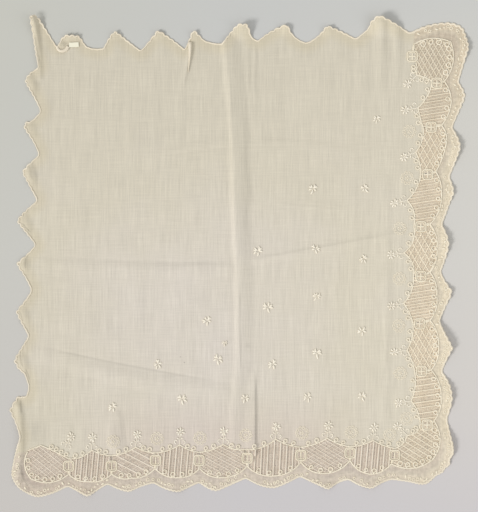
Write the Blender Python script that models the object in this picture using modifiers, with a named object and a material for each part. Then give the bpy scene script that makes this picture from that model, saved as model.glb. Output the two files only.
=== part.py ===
"""Lace fichu: a square muslin kerchief laid face up, with whitework on two sides.

The cloth lies in the XY plane with its underside on z = 0 and the middle of its box at the
origin. +Y is the top of the square as it is seen from above, and the worked border runs
down the +X side and along the -Y side. The tables are in millimetres, with SQUARE_MIDDLE
at the middle of the cloth; the model is in metres.
"""

from collections import namedtuple
from math import cos, pi, radians, sin

import bmesh
import bpy
import numpy as np
from mathutils import Vector
from mathutils.geometry import delaunay_2d_cdt

MM = 0.001

# Driving sizes, in millimetres, and the counts and limits of the triangulation
SHEET_THICKNESS = 1.2
EDGE_STEP = 6.0
RUN_STEP = 4.0
CORD_STEP = 2.5
FOLD_STEP = 21.0
FOLD_LINE_POINTS = 15
EDGE_ROUNDING_PASSES = 2
THREAD_WIDTH = 2.2
FILLING_ROWS = 8
SLOT_REACH = 50.0
SLOT_STEP = 1.0
INNER_CORD_MARGIN = 2.5
OUTER_CURL_MARGIN = 7.5
MEDALLION_MARGIN = 9.0
SMALLEST_SLOT = 6.0
POINT_CLEARANCE = 3.5
GAP_NEIGHBOURHOOD = 40.0
WELD_DISTANCE = 1e-4
TAPE_LENGTH = 17.0
TAPE_WIDTH = 8.5
TAPE_THICKNESS = 1.0
TAPE_GAP = 0.3
TAPE_PLACE = (-289.0, 370.0)
TAPE_TURN = 3.0
TAPE_COLUMNS = 5
TAPE_ROWS = 3
KEEP_INSIDE = 1
SQUARE_MIDDLE = (-0.61, -0.16)

# One row for each scallop, clockwise from the raised corner at the top left. An edge runs
# from the valley out to the tip, and on to the next row's valley. A bow is how far that
# run swells outwards, as a share of its length.
Scallop = namedtuple("Scallop", "valley_x valley_y tip_x tip_y bow_out bow_back")
SCALLOPS = [
    Scallop(-351, 329, -365, 420, 0.01, 0.00),
    Scallop(-358, 421, -351, 417, 0.00, 0.00),
    Scallop(-318, 365, -306, 386, 0.05, 0.00),
    Scallop(-296, 386, -279, 385, 0.00, 0.00),
    Scallop(-268, 367, -256, 363, 0.00, 0.00),
    Scallop(-237, 363, -217, 394, 0.06, 0.00),
    Scallop(-172, 359, -142, 395, 0.00, 0.03),
    Scallop(-95, 361, -80, 396, 0.00, 0.02),
    Scallop(-61, 377, -46, 373, 0.00, 0.00),
    Scallop(-30, 371, -2, 405, 0.03, 0.00),
    Scallop(15, 404, 21, 384, 0.00, 0.00),
    Scallop(32, 376, 84, 405, 0.06, -0.13),
    Scallop(118, 373, 153, 403, -0.08, 0.03),
    Scallop(204, 380, 226, 398, 0.00, 0.00),
    Scallop(229, 408, 243, 420, 0.02, 0.03),
    Scallop(299, 390, 369, 407, 0.07, 0.05),
    Scallop(390, 399, 400, 366, 0.02, 0.00),
    Scallop(382, 304, 394, 279, 0.08, 0.00),
    Scallop(371, 225, 385, 191, 0.06, 0.02),
    Scallop(366, 139, 374, 111, 0.04, 0.00),
    Scallop(353, 55, 365, 20, 0.06, 0.03),
    Scallop(351, -27, 371, -62, -0.03, 0.00),
    Scallop(349, -113, 372, -160, -0.03, -0.02),
    Scallop(353, -202, 371, -245, 0.08, 0.04),
    Scallop(362, -284, 371, -325, 0.00, 0.03),
    Scallop(373, -346, 366, -354, 0.00, 0.00),
    Scallop(368, -365, 359, -369, 0.00, 0.00),
    Scallop(357, -377, 343, -383, 0.00, 0.00),
    Scallop(338, -389, 327, -398, 0.00, 0.00),
    Scallop(313, -398, 300, -395, 0.00, 0.00),
    Scallop(266, -390, 232, -406, -0.04, 0.07),
    Scallop(192, -390, 156, -408, -0.07, 0.00),
    Scallop(106, -385, 62, -405, 0.03, 0.08),
    Scallop(12, -388, -40, -411, 0.00, 0.07),
    Scallop(-70, -395, -106, -412, 0.01, 0.07),
    Scallop(-149, -396, -192, -412, -0.03, 0.05),
    Scallop(-230, -398, -265, -420, 0.00, 0.00),
    Scallop(-300, -402, -353, -421, 0.05, 0.06),
    Scallop(-387, -404, -398, -384, 0.01, 0.03),
    Scallop(-383, -317, -402, -270, -0.04, 0.01),
    Scallop(-387, -245, -372, -246, 0.00, 0.00),
    Scallop(-368, -229, -376, -204, 0.00, 0.00),
    Scallop(-384, -200, -394, -183, 0.00, 0.01),
    Scallop(-368, -140, -391, -97, 0.00, -0.03),
    Scallop(-363, -60, -390, -13, -0.03, -0.03),
    Scallop(-356, 20, -389, 62, 0.00, 0.04),
    Scallop(-353, 97, -380, 148, 0.00, 0.02),
    Scallop(-350, 177, -376, 224, -0.04, 0.00),
    Scallop(-375, 234, -363, 236, 0.00, 0.00),
    Scallop(-347, 253, -375, 306, -0.02, 0.12),
]

# The small worked squares between the cartouches, from the top right corner round to the
# bottom left. The cartouches' inner and outer cords meet at the two junctions.
Medallion = namedtuple("Medallion", "x y inner_x inner_y outer_x outer_y")
MEDALLIONS = [
    Medallion(303, 350, 310, 338, 306, 371),
    Medallion(346, 303, 338, 306, 359, 306),
    Medallion(336, 226, 322, 225, 354, 229),
    Medallion(330, 143, 318, 144, 344, 148),
    Medallion(318, 52, 306, 53, 334, 56),
    Medallion(318, -35, 305, -35, 334, -28),
    Medallion(316, -118, 304, -117, 334, -112),
    Medallion(319, -201, 307, -201, 336, -199),
    Medallion(329, -295, 317, -292, 341, -288),
    Medallion(272, -348, 273, -336, 266, -363),
    Medallion(194, -344, 194, -333, 194, -357),
    Medallion(108, -348, 108, -334, 108, -360),
    Medallion(14, -353, 10, -338, 14, -367),
    Medallion(-70, -357, -70, -343, -69, -371),
    Medallion(-146, -357, -146, -344, -147, -371),
    Medallion(-223, -367, -223, -349, -223, -381),
    Medallion(-298, -367, -299, -354, -298, -381),
    Medallion(-370, -341, -370, -340, -370, -342),
]

# One row for each cartouche, between medallions in the order above. Its inner cord comes
# to a peak towards the middle of the cloth and its outer cord swells towards the edge.
# The filling is a lattice of crossing threads or a row of bars.
Cartouche = namedtuple(
    "Cartouche", "filling inner_x inner_y outer_x outer_y bow_a bow_b swell_a swell_b"
)
CARTOUCHES = [
    Cartouche("lattice", 311, 317, 370, 375, 0.00, -0.05, 0.13, 0.14),
    Cartouche("bars", 313, 260, 371, 271, -0.09, 0.02, 0.08, 0.08),
    Cartouche("lattice", 309, 182, 363, 203, -0.10, -0.06, 0.10, 0.05),
    Cartouche("bars", 294, 98, 354, 111, -0.09, -0.13, 0.08, 0.11),
    Cartouche("lattice", 288, 6, 346, 14, -0.15, -0.16, 0.10, 0.10),
    Cartouche("bars", 288, -82, 346, -70, -0.11, -0.05, 0.09, 0.10),
    Cartouche("lattice", 294, -164, 348, -155, -0.08, -0.04, 0.10, 0.11),
    Cartouche("bars", 301, -253, 353, -246, -0.08, -0.08, 0.10, 0.10),
    Cartouche("lattice", 294, -313, 339, -355, -0.22, -0.14, 0.17, 0.16),
    Cartouche("bars", 234, -322, 229, -381, -0.05, -0.06, 0.12, 0.13),
    Cartouche("lattice", 154, -318, 147, -380, -0.06, -0.06, 0.12, 0.12),
    Cartouche("bars", 64, -320, 61, -384, -0.06, -0.10, 0.12, 0.12),
    Cartouche("lattice", -28, -329, -32, -387, -0.09, -0.06, 0.12, 0.12),
    Cartouche("bars", -104, -330, -107, -387, -0.06, -0.06, 0.12, 0.12),
    Cartouche("lattice", -181, -334, -188, -388, -0.06, -0.06, 0.12, 0.12),
    Cartouche("bars", -258, -339, -263, -394, -0.06, -0.12, 0.12, 0.12),
    Cartouche("lattice", -347, -331, -364, -389, 0.02, 0.00, 0.16, 0.17),
]

# One row for each set of parallel threads in a cartouche, counted from the top right: two
# sets make a lattice and one makes a row of bars. Lean is their angle in degrees from the
# X axis, pitch is how far apart they lie, and phase is how many pitches one of them lies
# from the middle between the peak and the swell.
ThreadSet = namedtuple("ThreadSet", "cartouche lean pitch phase")
THREAD_SETS = [
    ThreadSet(0, 59, 9.0, -0.19),
    ThreadSet(0, -60, 8.0, -0.38),
    ThreadSet(1, 9, 10.3, -0.44),
    ThreadSet(2, 60, 10.1, -0.10),
    ThreadSet(2, -61, 10.5, -0.34),
    ThreadSet(3, 9, 9.5, 0.05),
    ThreadSet(4, 62, 11.0, 0.11),
    ThreadSet(4, -60, 10.5, 0.48),
    ThreadSet(5, 9, 10.3, 0.40),
    ThreadSet(6, 64, 9.6, 0.25),
    ThreadSet(6, -59, 10.3, 0.30),
    ThreadSet(7, 8, 9.7, -0.44),
    ThreadSet(8, 35, 10.0, -0.18),
    ThreadSet(8, -32, 8.2, 0.36),
    ThreadSet(9, 85, 9.9, -0.17),
    ThreadSet(10, 29, 9.4, 0.14),
    ThreadSet(10, -31, 10.7, 0.24),
    ThreadSet(11, 87, 11.0, 0.16),
    ThreadSet(12, 27, 9.2, -0.31),
    ThreadSet(12, -28, 9.8, 0.14),
    ThreadSet(13, 85, 10.3, -0.44),
    ThreadSet(14, 32, 8.4, -0.06),
    ThreadSet(14, -27, 10.7, -0.26),
    ThreadSet(15, 85, 9.4, -0.39),
    ThreadSet(16, 34, 8.0, 0.44),
    ThreadSet(16, -39, 10.5, 0.38),
]

# One row for each section of a fold: a curved line through three points, the height of
# its crest at both ends, how far each side reaches, and how flat its crest is.
Fold = namedtuple(
    "Fold", "start_x start_y mid_x mid_y end_x end_y rise_start rise_end left right flat"
)
FOLDS = [
    Fold(-27, 392, -15, 274, -9, 160, 3.5, 5.5, 31, 9, 2),
    Fold(-9, 160, -7, 72, -3, -7, 5.5, 5.5, 31, 9, 2),
    Fold(-3, -7, -1, -103, -2, -199, 5.5, 4.0, 29, 9, 2),
    Fold(-2, -199, -7, -252, -13, -322, 4.0, 1.5, 26, 10, 2),
    Fold(25, -205, 27, -280, 27, -345, 0.5, 3.5, 7, 24, 2),
    Fold(-84, 370, -91, 335, -101, 285, 3.5, 0.0, 7, 7, 2),
    Fold(-351, -8, -191, -19, -11, -17, 0.8, 1.6, 8, 24, 2),
    Fold(28, -6, 129, 11, 281, 41, 1.6, 1.2, 7, 12, 2),
    Fold(-191, 165, -86, 189, -18, 200, 0.4, 1.0, 14, 9, 2),
    Fold(28, 198, 89, 199, 194, 186, 1.0, 0.4, 9, 14, 2),
    Fold(-345, -172, -293, -184, -226, -203, 0.8, 1.8, 16, 22, 2),
    Fold(-226, -203, -139, -220, -25, -236, 1.8, 1.6, 18, 24, 2),
    Fold(70, 93, 125, 90, 173, 84, 0.4, 0.8, 12, 9, 2),
    Fold(248, 404, 249, 330, 246, 262, 4.0, 0.0, 13, 13, 2),
    Fold(276, 398, 277, 330, 270, 250, 3.0, 0.0, 12, 12, 2),
    Fold(257, 133, 260, -77, 257, -287, 0.8, 0.8, 12, 14, 2),
    Fold(-360, 414, -352, 368, -349, 312, 7.0, 2.0, 8, 8, 2),
    Fold(-386, -262, -382, -322, -386, -392, 4.0, 4.0, 10, 12, 2),
    Fold(-212, -285, -222, -312, -214, -336, 1.5, 3.0, 22, 16, 2),
]

# One row for each curled or lifted place: its middle, how far it reaches across and
# along, its turn in degrees and its height. A middle on the edge lifts the edge; one a
# little inside it makes the edge roll over.
Lift = namedtuple("Lift", "x y across along turn height")
LIFTS = [
    Lift(-362, 301, 12, 26, 8, 3.5),
    Lift(-363, 220, 12, 22, 8, 2.0),
    Lift(-364, 142, 13, 26, 8, 4.8),
    Lift(-371, 54, 12, 24, 8, 2.8),
    Lift(-375, -14, 11, 18, 8, 3.6),
    Lift(-376, -106, 12, 22, 8, 3.0),
    Lift(-377, -187, 12, 22, 4, 3.4),
    Lift(-362, 424, 34, 44, 0, 9.0),
    Lift(-310, 369, 10, 8, 20, 3.0),
    Lift(-291, 392, 30, 18, 0, 8.0),
    Lift(-217, 396, 24, 22, 0, 4.5),
    Lift(-142, 398, 24, 22, 0, 4.5),
    Lift(-80, 398, 20, 24, 0, 5.0),
    Lift(8, 410, 30, 36, 0, 15.0),
    Lift(86, 408, 28, 26, 0, 6.5),
    Lift(155, 405, 26, 24, 0, 5.5),
    Lift(250, 424, 56, 44, 0, 15.0),
    Lift(402, 364, 26, 34, 0, 5.5),
    Lift(388, 188, 34, 44, 0, 6.5),
    Lift(378, 112, 22, 26, 0, 4.0),
    Lift(369, 30, 34, 40, 0, 7.0),
    Lift(372, -62, 22, 26, 0, 4.5),
    Lift(372, -142, 44, 58, 0, 10.0),
    Lift(376, -240, 36, 40, 0, 7.0),
    Lift(378, -332, 40, 46, 0, 7.5),
    Lift(234, -406, 26, 20, 0, 4.0),
    Lift(157, -410, 28, 20, 0, 4.5),
    Lift(-104, -413, 26, 18, 0, 3.0),
    Lift(-265, -422, 26, 18, 0, 3.5),
]

# Rings of points round a lifted place: the share of its reach and how many points it has
LiftRing = namedtuple("LiftRing", "reach count")
LIFT_RINGS = [LiftRing(0.0, 1), LiftRing(0.5, 6), LiftRing(1.0, 10)]

# Colours are linear RGB; the last value of each row is the roughness
FINISHES = {
    "fichu_muslin": ((0.66, 0.58, 0.45, 1.0), 0.9),
    "bare_tape": ((0.86, 0.78, 0.62, 1.0), 0.85),
}


def bowed_run(start, end, bow, step):
    """Points from start up to, but not including, end, swelling to the left by bow."""
    start = np.array(start, float)
    run = np.array(end, float) - start
    count = max(2, round(float(np.hypot(*run)) / step))
    share = (np.arange(count) / count)[:, None]
    side = np.array([-run[1], run[0]])
    return start + run * share + side * bow * 4 * share * (1 - share)


def cloth_outline():
    """The scalloped edge of the square, clockwise, with its corners eased."""
    runs = []
    for row, after in zip(SCALLOPS, SCALLOPS[1:] + SCALLOPS[:1]):
        valley = (row.valley_x, row.valley_y)
        tip = (row.tip_x, row.tip_y)
        runs.append(bowed_run(valley, tip, row.bow_out, RUN_STEP))
        runs.append(bowed_run(tip, (after.valley_x, after.valley_y), row.bow_back, RUN_STEP))
    points = np.vstack(runs)
    for _ in range(EDGE_ROUNDING_PASSES):
        points = (np.roll(points, 1, 0) + 2 * points + np.roll(points, -1, 0)) / 4
    return evenly_spaced(points, EDGE_STEP)


def evenly_spaced(points, step):
    """The closed line through the points again, with points about step apart."""
    ring = np.vstack([points, points[:1]])
    along = np.concatenate([[0], np.cumsum(np.hypot(*np.diff(ring, axis=0).T))])
    at = np.linspace(0, along[-1], round(along[-1] / step), endpoint=False)
    return np.column_stack([np.interp(at, along, ring[:, axis]) for axis in (0, 1)])


def inside(points, ring):
    """True for each point that lies within the closed ring, by the even-odd rule."""
    x, y = points[:, 0][:, None], points[:, 1][:, None]
    a, b = ring, np.roll(ring, -1, 0)
    spans = (a[:, 1] > y) != (b[:, 1] > y)
    rise = np.where(b[:, 1] == a[:, 1], 1.0, b[:, 1] - a[:, 1])
    cross_x = a[:, 0] + (y - a[:, 1]) * (b[:, 0] - a[:, 0]) / rise
    return ((spans & (x < cross_x)).sum(axis=1) % 2) == 1


def from_line(points, line):
    """Each point's distance from an open line, its side (left is +) and place along it."""
    a, b = line[:-1], line[1:]
    run = b - a
    length_squared = (run**2).sum(axis=1)
    offset = points[:, None, :] - a[None]
    share = np.clip((offset * run).sum(axis=2) / length_squared, 0, 1)
    gap = offset - share[..., None] * run
    distance = np.hypot(gap[..., 0], gap[..., 1])
    nearest = distance.argmin(axis=1)
    rows = np.arange(len(points))
    lengths = np.sqrt(length_squared)
    before = np.concatenate([[0], np.cumsum(lengths)])
    along = before[nearest] + share[rows, nearest] * lengths[nearest]
    near_gap, near_run = gap[rows, nearest], run[nearest]
    side = np.sign(near_run[:, 0] * near_gap[:, 1] - near_run[:, 1] * near_gap[:, 0])
    return distance[rows, nearest], side, along / before[-1]


def fold_line(fold, count=FOLD_LINE_POINTS):
    """A fold section's crest: the parabola through its start, middle and end."""
    share = np.linspace(0, 1, count)[:, None]
    start = np.array([fold.start_x, fold.start_y], float)
    mid = np.array([fold.mid_x, fold.mid_y], float)
    end = np.array([fold.end_x, fold.end_y], float)
    first = (1 - share) * (1 - 2 * share) * start
    return first + 4 * share * (1 - share) * mid + share * (2 * share - 1) * end


def swell(share, flat=2):
    """1 at the crest, falling smoothly to 0 at and past a share of 1."""
    return (1 - np.clip(share, 0, 1) ** flat) ** 2


def lifted(points, lift):
    """The height that one curled or lifted place gives each point."""
    turn = radians(lift.turn)
    x, y = points[:, 0] - lift.x, points[:, 1] - lift.y
    across = (x * cos(turn) + y * sin(turn)) / lift.across
    along = (y * cos(turn) - x * sin(turn)) / lift.along
    return lift.height * swell(np.hypot(across, along))


def cloth_height(points):
    """How high the cloth's underside lies over the surface: 0 wherever it lies flat."""
    height = np.zeros(len(points))
    for fold in FOLDS:
        distance, side, along = from_line(points, fold_line(fold))
        reach = np.where(side > 0, fold.left, fold.right)
        crest = fold.rise_start + (fold.rise_end - fold.rise_start) * along
        height = np.maximum(height, crest * swell(distance / reach, fold.flat))
    for lift in LIFTS:
        height = height + lifted(points, lift)
    return height


def cartouche_cords(index):
    """The inner and the outer cord of a cartouche, as open lines."""
    row = CARTOUCHES[index]
    first, last = MEDALLIONS[index], MEDALLIONS[index + 1]
    peak, belly = (row.inner_x, row.inner_y), (row.outer_x, row.outer_y)
    inner_end, outer_end = (last.inner_x, last.inner_y), (last.outer_x, last.outer_y)
    inner = [
        bowed_run((first.inner_x, first.inner_y), peak, -row.bow_a, CORD_STEP),
        bowed_run(peak, inner_end, -row.bow_b, CORD_STEP),
        np.array([inner_end], float),
    ]
    outer = [
        bowed_run((first.outer_x, first.outer_y), belly, row.swell_a, CORD_STEP),
        bowed_run(belly, outer_end, row.swell_b, CORD_STEP),
        np.array([outer_end], float),
    ]
    return np.vstack(inner), np.vstack(outer)


def open_ground(points, index):
    """True for each point that is clear of a cartouche's cords, curls and medallions."""
    inner, outer = cartouche_cords(index)
    clear = inside(points, np.vstack([inner, outer[::-1]]))
    clear &= from_line(points, inner)[0] > INNER_CORD_MARGIN
    clear &= from_line(points, outer)[0] > OUTER_CURL_MARGIN
    for medallion in MEDALLIONS[index : index + 2]:
        away = np.hypot(points[:, 0] - medallion.x, points[:, 1] - medallion.y)
        clear &= away > MEDALLION_MARGIN
    return clear


def filling_middle(row):
    """Halfway between a cartouche's peak and its swell, where its filling starts from."""
    return np.array([row.inner_x + row.outer_x, row.inner_y + row.outer_y]) / 2


def sets_of_threads(index):
    """The sets of parallel threads that cross a cartouche."""
    return [row for row in THREAD_SETS if row.cartouche == index]


def lattice_gaps(index):
    """The diamonds between two sets of crossing threads, each as four corners."""
    sets = sets_of_threads(index)
    normals = np.array([[-sin(radians(row.lean)), cos(radians(row.lean))] for row in sets])
    corner_of = np.linalg.inv(normals)
    pitch, phase = np.array([row.pitch for row in sets]), np.array([row.phase for row in sets])
    centre = filling_middle(CARTOUCHES[index])
    around = np.array([[-1, -1], [1, -1], [1, 1], [-1, 1]]) * (pitch - THREAD_WIDTH) / 2
    gaps = []
    for i in range(-FILLING_ROWS, FILLING_ROWS):
        for j in range(-FILLING_ROWS, FILLING_ROWS):
            middle = (np.array([i + 0.5, j + 0.5]) + phase) * pitch
            corners = centre + (middle + around) @ corner_of.T
            if open_ground(corners, index).all():
                gaps.append(corners)
    return gaps


def bar_gaps(index):
    """The slots between parallel bars, each as four corners."""
    row = sets_of_threads(index)[0]
    lean = radians(row.lean)
    run, across = np.array([cos(lean), sin(lean)]), np.array([-sin(lean), cos(lean)])
    centre = filling_middle(CARTOUCHES[index])
    half = (row.pitch - THREAD_WIDTH) / 2
    at = np.arange(-SLOT_REACH, SLOT_REACH, SLOT_STEP)
    gaps = []
    for i in range(-FILLING_ROWS, FILLING_ROWS):
        ends = []
        for edge in (-half, half):
            line = centre + at[:, None] * run + ((i + 0.5 + row.phase) * row.pitch + edge) * across
            clear = at[open_ground(line, index)]
            if len(clear) > SMALLEST_SLOT:
                ends.append((line[at == clear[0]][0], line[at == clear[-1]][0]))
        if len(ends) == 2:
            gaps.append(np.array([ends[0][0], ends[0][1], ends[1][1], ends[1][0]]))
    return gaps


def border_gaps():
    """Every gap that is cut through the border, cartouche by cartouche."""
    gaps = []
    for index, row in enumerate(CARTOUCHES):
        gaps += lattice_gaps(index) if row.filling == "lattice" else bar_gaps(index)
    return gaps


def fold_points():
    """Points across each fold, so that its crest and both feet keep their places."""
    points = []
    for fold in FOLDS:
        line = fold_line(fold)
        length = np.hypot(*np.diff(line, axis=0).T).sum()
        stations = fold_line(fold, max(3, round(length / FOLD_STEP) + 1))
        run = np.gradient(stations, axis=0)
        left = np.column_stack([-run[:, 1], run[:, 0]]) / np.hypot(*run.T)[:, None]
        for reach in (fold.left, fold.left / 2, 0, -fold.right / 2, -fold.right):
            points.append(stations + left * reach)
    return points


def lift_points():
    """Points in rings round the middle of each curled or lifted place."""
    points = []
    for lift in LIFTS:
        turn = radians(lift.turn)
        for ring in LIFT_RINGS:
            angle = np.arange(ring.count) * 2 * pi / ring.count
            across = np.cos(angle) * lift.across * ring.reach
            along = np.sin(angle) * lift.along * ring.reach
            x = lift.x + across * cos(turn) - along * sin(turn)
            y = lift.y + across * sin(turn) + along * cos(turn)
            points.append(np.column_stack([x, y]))
    return points


def tape_grid():
    """The tape's own points, seen from above, as rows and columns of a small grid."""
    turn = radians(TAPE_TURN)
    columns, rows = np.linspace(-0.5, 0.5, TAPE_COLUMNS), np.linspace(-0.5, 0.5, TAPE_ROWS)
    across, along = np.meshgrid(columns, rows)
    x, y = across.ravel() * TAPE_LENGTH, along.ravel() * TAPE_WIDTH
    turned = np.column_stack([x * cos(turn) - y * sin(turn), x * sin(turn) + y * cos(turn)])
    return np.array(TAPE_PLACE) + turned


def clear_points(points, outline, gaps):
    """The points that lie on the cloth, away from its edge, its gaps and one another."""
    points = points[inside(points, outline)]
    closed = np.vstack([outline, outline[:1]])
    points = points[from_line(points, closed)[0] > POINT_CLEARANCE]
    for gap in gaps:
        near = np.abs(points - gap.mean(axis=0)).max(axis=1) < GAP_NEIGHBOURHOOD
        ring = np.vstack([gap, gap[:1]])
        blocked = np.zeros(len(points), bool)
        if near.any():
            close = from_line(points[near], ring)[0] < POINT_CLEARANCE
            blocked[near] = close | inside(points[near], gap)
        points = points[~blocked]
    kept = []
    for point in points:
        if all(np.hypot(*(point - other)) > POINT_CLEARANCE for other in kept):
            kept.append(point)
    return np.array(kept)


def counter_clockwise(ring):
    """The ring's points in the order that keeps its inside on the left."""
    ahead = np.roll(ring, -1, 0)
    doubled_area = (ring[:, 0] * ahead[:, 1] - ahead[:, 0] * ring[:, 1]).sum()
    return ring if doubled_area > 0 else ring[::-1]


def cloth_faces(outline, gaps):
    """A flat triangulation of the cloth that keeps its edge and leaves its gaps open."""
    spare = clear_points(np.vstack([tape_grid(), *fold_points(), *lift_points()]), outline, gaps)
    rings = [counter_clockwise(ring) for ring in [outline] + gaps]
    starts = np.cumsum([0] + [len(ring) for ring in rings])
    borders = [list(range(a, b)) for a, b in zip(starts[:-1], starts[1:])]
    points = np.vstack(rings + [spare])
    vertices = [Vector(point) for point in points]
    found = delaunay_2d_cdt(vertices, [], borders, KEEP_INSIDE, WELD_DISTANCE)
    places, triangles, owners = found[0], found[2], found[5]
    solid = [face for face, owner in zip(triangles, owners) if owner == [0]]
    return np.array([tuple(place) for place in places]), solid


def sheet_object(name, places, heights, faces, thickness, collection):
    """An object whose underside has these places and heights, thickened upwards."""
    mesh = bpy.data.meshes.new(name)
    points = np.column_stack([places - np.array(SQUARE_MIDDLE), heights]) * MM
    mesh.from_pydata(points.tolist(), [], faces)
    shape = bmesh.new()
    shape.from_mesh(mesh)
    loose = [vertex for vertex in shape.verts if not vertex.link_faces]
    bmesh.ops.delete(shape, geom=loose, context="VERTS")
    for face in shape.faces:
        if face.normal.z < 0:
            face.normal_flip()
    shape.to_mesh(mesh)
    shape.free()
    made = bpy.data.objects.new(name, mesh)
    collection.objects.link(made)
    wall = made.modifiers.new("thickness", "SOLIDIFY")
    wall.thickness = thickness * MM
    wall.offset = 1.0
    wall.use_even_offset = False
    return made


def finish_material(name):
    """A plain material with the colour and roughness of one of the finishes."""
    colour, roughness = FINISHES[name]
    material = bpy.data.materials.new(name)
    material.use_nodes = True
    shader = material.node_tree.nodes["Principled BSDF"]
    shader.inputs["Base Color"].default_value = colour
    shader.inputs["Roughness"].default_value = roughness
    shader.inputs["Metallic"].default_value = 0.0
    return material


def build_cloth(collection):
    """The muslin square with its scalloped edge, folds and open worked fillings."""
    places, faces = cloth_faces(cloth_outline(), border_gaps())
    heights = cloth_height(places)
    cloth = sheet_object("fichu_cloth", places, heights, faces, SHEET_THICKNESS, collection)
    cloth.data.materials.append(finish_material("fichu_muslin"))
    return cloth


def build_tape(collection):
    """The short bare tape that lies on the cloth at its top edge."""
    places = tape_grid()
    heights = cloth_height(places) + SHEET_THICKNESS + TAPE_GAP
    faces = [
        [start, start + 1, start + 1 + TAPE_COLUMNS, start + TAPE_COLUMNS]
        for row in range(TAPE_ROWS - 1)
        for start in range(row * TAPE_COLUMNS, (row + 1) * TAPE_COLUMNS - 1)
    ]
    tape = sheet_object("tape_tab", places, heights, faces, TAPE_THICKNESS, collection)
    tape.data.materials.append(finish_material("bare_tape"))
    return tape


def main():
    """Empty the scene and build the cloth and its tape."""
    for old in list(bpy.data.objects):
        bpy.data.objects.remove(old)
    collection = bpy.data.collections.new("lace_fichu")
    bpy.context.scene.collection.children.link(collection)
    build_cloth(collection)
    build_tape(collection)


main()
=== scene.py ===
"""Looks of a lace fichu: a sheer muslin square with whitework on two sides, laid face up.

The tables are in millimetres on the surface that the cloth lies on: +X is the worked side,
+Y the top edge, and the model's origin is at SQUARE_MIDDLE. The model itself is in metres.
"""

from collections import namedtuple
from math import hypot, pi, radians

import bpy
import numpy as np
from bpy.props import FloatProperty, FloatVectorProperty, IntProperty, PointerProperty
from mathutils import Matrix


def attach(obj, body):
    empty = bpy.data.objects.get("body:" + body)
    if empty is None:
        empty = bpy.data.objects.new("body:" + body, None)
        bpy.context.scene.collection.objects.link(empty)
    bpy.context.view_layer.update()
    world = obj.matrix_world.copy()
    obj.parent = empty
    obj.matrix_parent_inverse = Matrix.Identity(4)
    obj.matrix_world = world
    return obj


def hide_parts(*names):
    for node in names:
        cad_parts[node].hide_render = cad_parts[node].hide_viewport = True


bl_info = {
    "name": "Lace fichu",
    "version": (1, 0, 0),
    "blender": (4, 5, 0),
    "location": "3D View > Sidebar > Fichu",
    "description": "Makes a muslin kerchief with a whitework border, piece by piece",
    "category": "Object",
}

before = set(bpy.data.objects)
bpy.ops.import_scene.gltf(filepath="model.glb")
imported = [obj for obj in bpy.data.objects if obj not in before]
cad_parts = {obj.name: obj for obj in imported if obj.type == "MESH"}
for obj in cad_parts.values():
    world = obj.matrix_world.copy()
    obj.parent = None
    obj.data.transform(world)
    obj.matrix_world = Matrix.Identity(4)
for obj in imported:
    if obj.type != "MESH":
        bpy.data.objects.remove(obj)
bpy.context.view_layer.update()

# A millimetre in metres, and the middles of the cloth's square and of the picture
MM = 0.001
SQUARE_MIDDLE = (-0.61, -0.16)
PICTURE_MIDDLE = (-0.35, 0.37)

# How finely lines are drawn: the millimetres between two points of the edge and of a cord,
# how many times the edge is eased, and how many points a fold's crest has
EDGE_STEP = 2.0
CORD_STEP = 2.0
EDGE_ROUNDING_PASSES = 6
FOLD_LINE_POINTS = 15

# The bare tape, in millimetres and degrees, and how many points its grid has each way
TAPE_LENGTH = 17.0
TAPE_WIDTH = 8.5
TAPE_THICKNESS = 0.45
TAPE_RISE = 1.0
TAPE_PLACE = (-289.0, 370.0)
TAPE_TURN = 3.0
TAPE_GRID = (19, 9)

# The stage: how far the floor reaches to each side, in millimetres; the fill light's turn
# about X, Y and Z, and its size and place in metres; and the colour of the sky
FLOOR_REACH = 3000.0
FILL_TURN = (0.0, radians(60), radians(-9))
FILL_SIZE = 1.2
FILL_PLACE = (1.9, -0.3, 1.1)
SKY_TONE = (0.97, 0.99, 1.0, 1.0)

# Where the worked border starts, from the left and from above, and where its marks do
BORDER_LEFT = 290.0
BORDER_TOP = -330.0
MARKS_LEFT = 300.0
MARKS_TOP = -345.0

# The edge: the share of their size that its waves have at the bottom, and how far inside the
# traced line it lies, in millimetres, except on the right
BOTTOM_WAVE = 0.6
EDGE_INSET = 1.0

# Places nearer the middle than this, along X and along Y, are far from the edge. The rim
# and the hem fade between two distances from the edge.
EDGE_ZONE = (300.0, 315.0)
RIM_FADE = (9.0, 17.0)
HEM_FADE = (8.0, 22.0)

# Corners far outside the cloth, from the end of the last outer cord to the first one's start
FAR_CORNERS = [(-500, -362), (-500, -500), (500, -500), (500, 500), (311, 500)]

# The first cartouche and medallion of the bottom border, counted from the top right, and
# the cartouches at the two right-hand corners
FIRST_AT_BOTTOM = 9
CORNERS = (0, 8)

# Fillings: how far the net reaches and how unevenly it is spaced, how many threads of a set
# lie on each side of the middle, and how many steps the shortest run of a thread has
NET_REACH = 75.0
NET_UNEVENNESS = 0.14
THREADS_EACH_WAY = 9
SHORTEST_RUN = 2

# Ring curls: how far from the ends of an outer cord they start and how far apart they are,
# in millimetres; the shares of a cord, or of its part before or past the peak, where the
# others lie; how much larger those of the outer cords are, and how unevenly large all are;
# and a curl's turn in degrees
CURL_MARGIN = 15.0
CURL_SPACING = 16.0
BOTTOM_CURLS = np.linspace(0.2, 0.79, 4)
CURLS_BEFORE_PEAK = np.array([0.30, 0.63])
CURLS_PAST_PEAK = np.array([0.37, 0.70])
CURLS_BEFORE_LAST_PEAK = np.array([0.12, 0.30, 0.48, 0.66])
OUTER_CURL = 1.08
CORNER_CURL = 1.25
CURL_SIZES = (0.9, 1.12)
CURL_TURN = 400

# Medallions: how many points a cord has, how large the inner frame is beside it, and how far
# the arms of the cross reach, as shares of half the width
MEDALLION_POINTS = 40
INNER_FRAME = 0.74
ARM_REACH = 0.7

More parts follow.
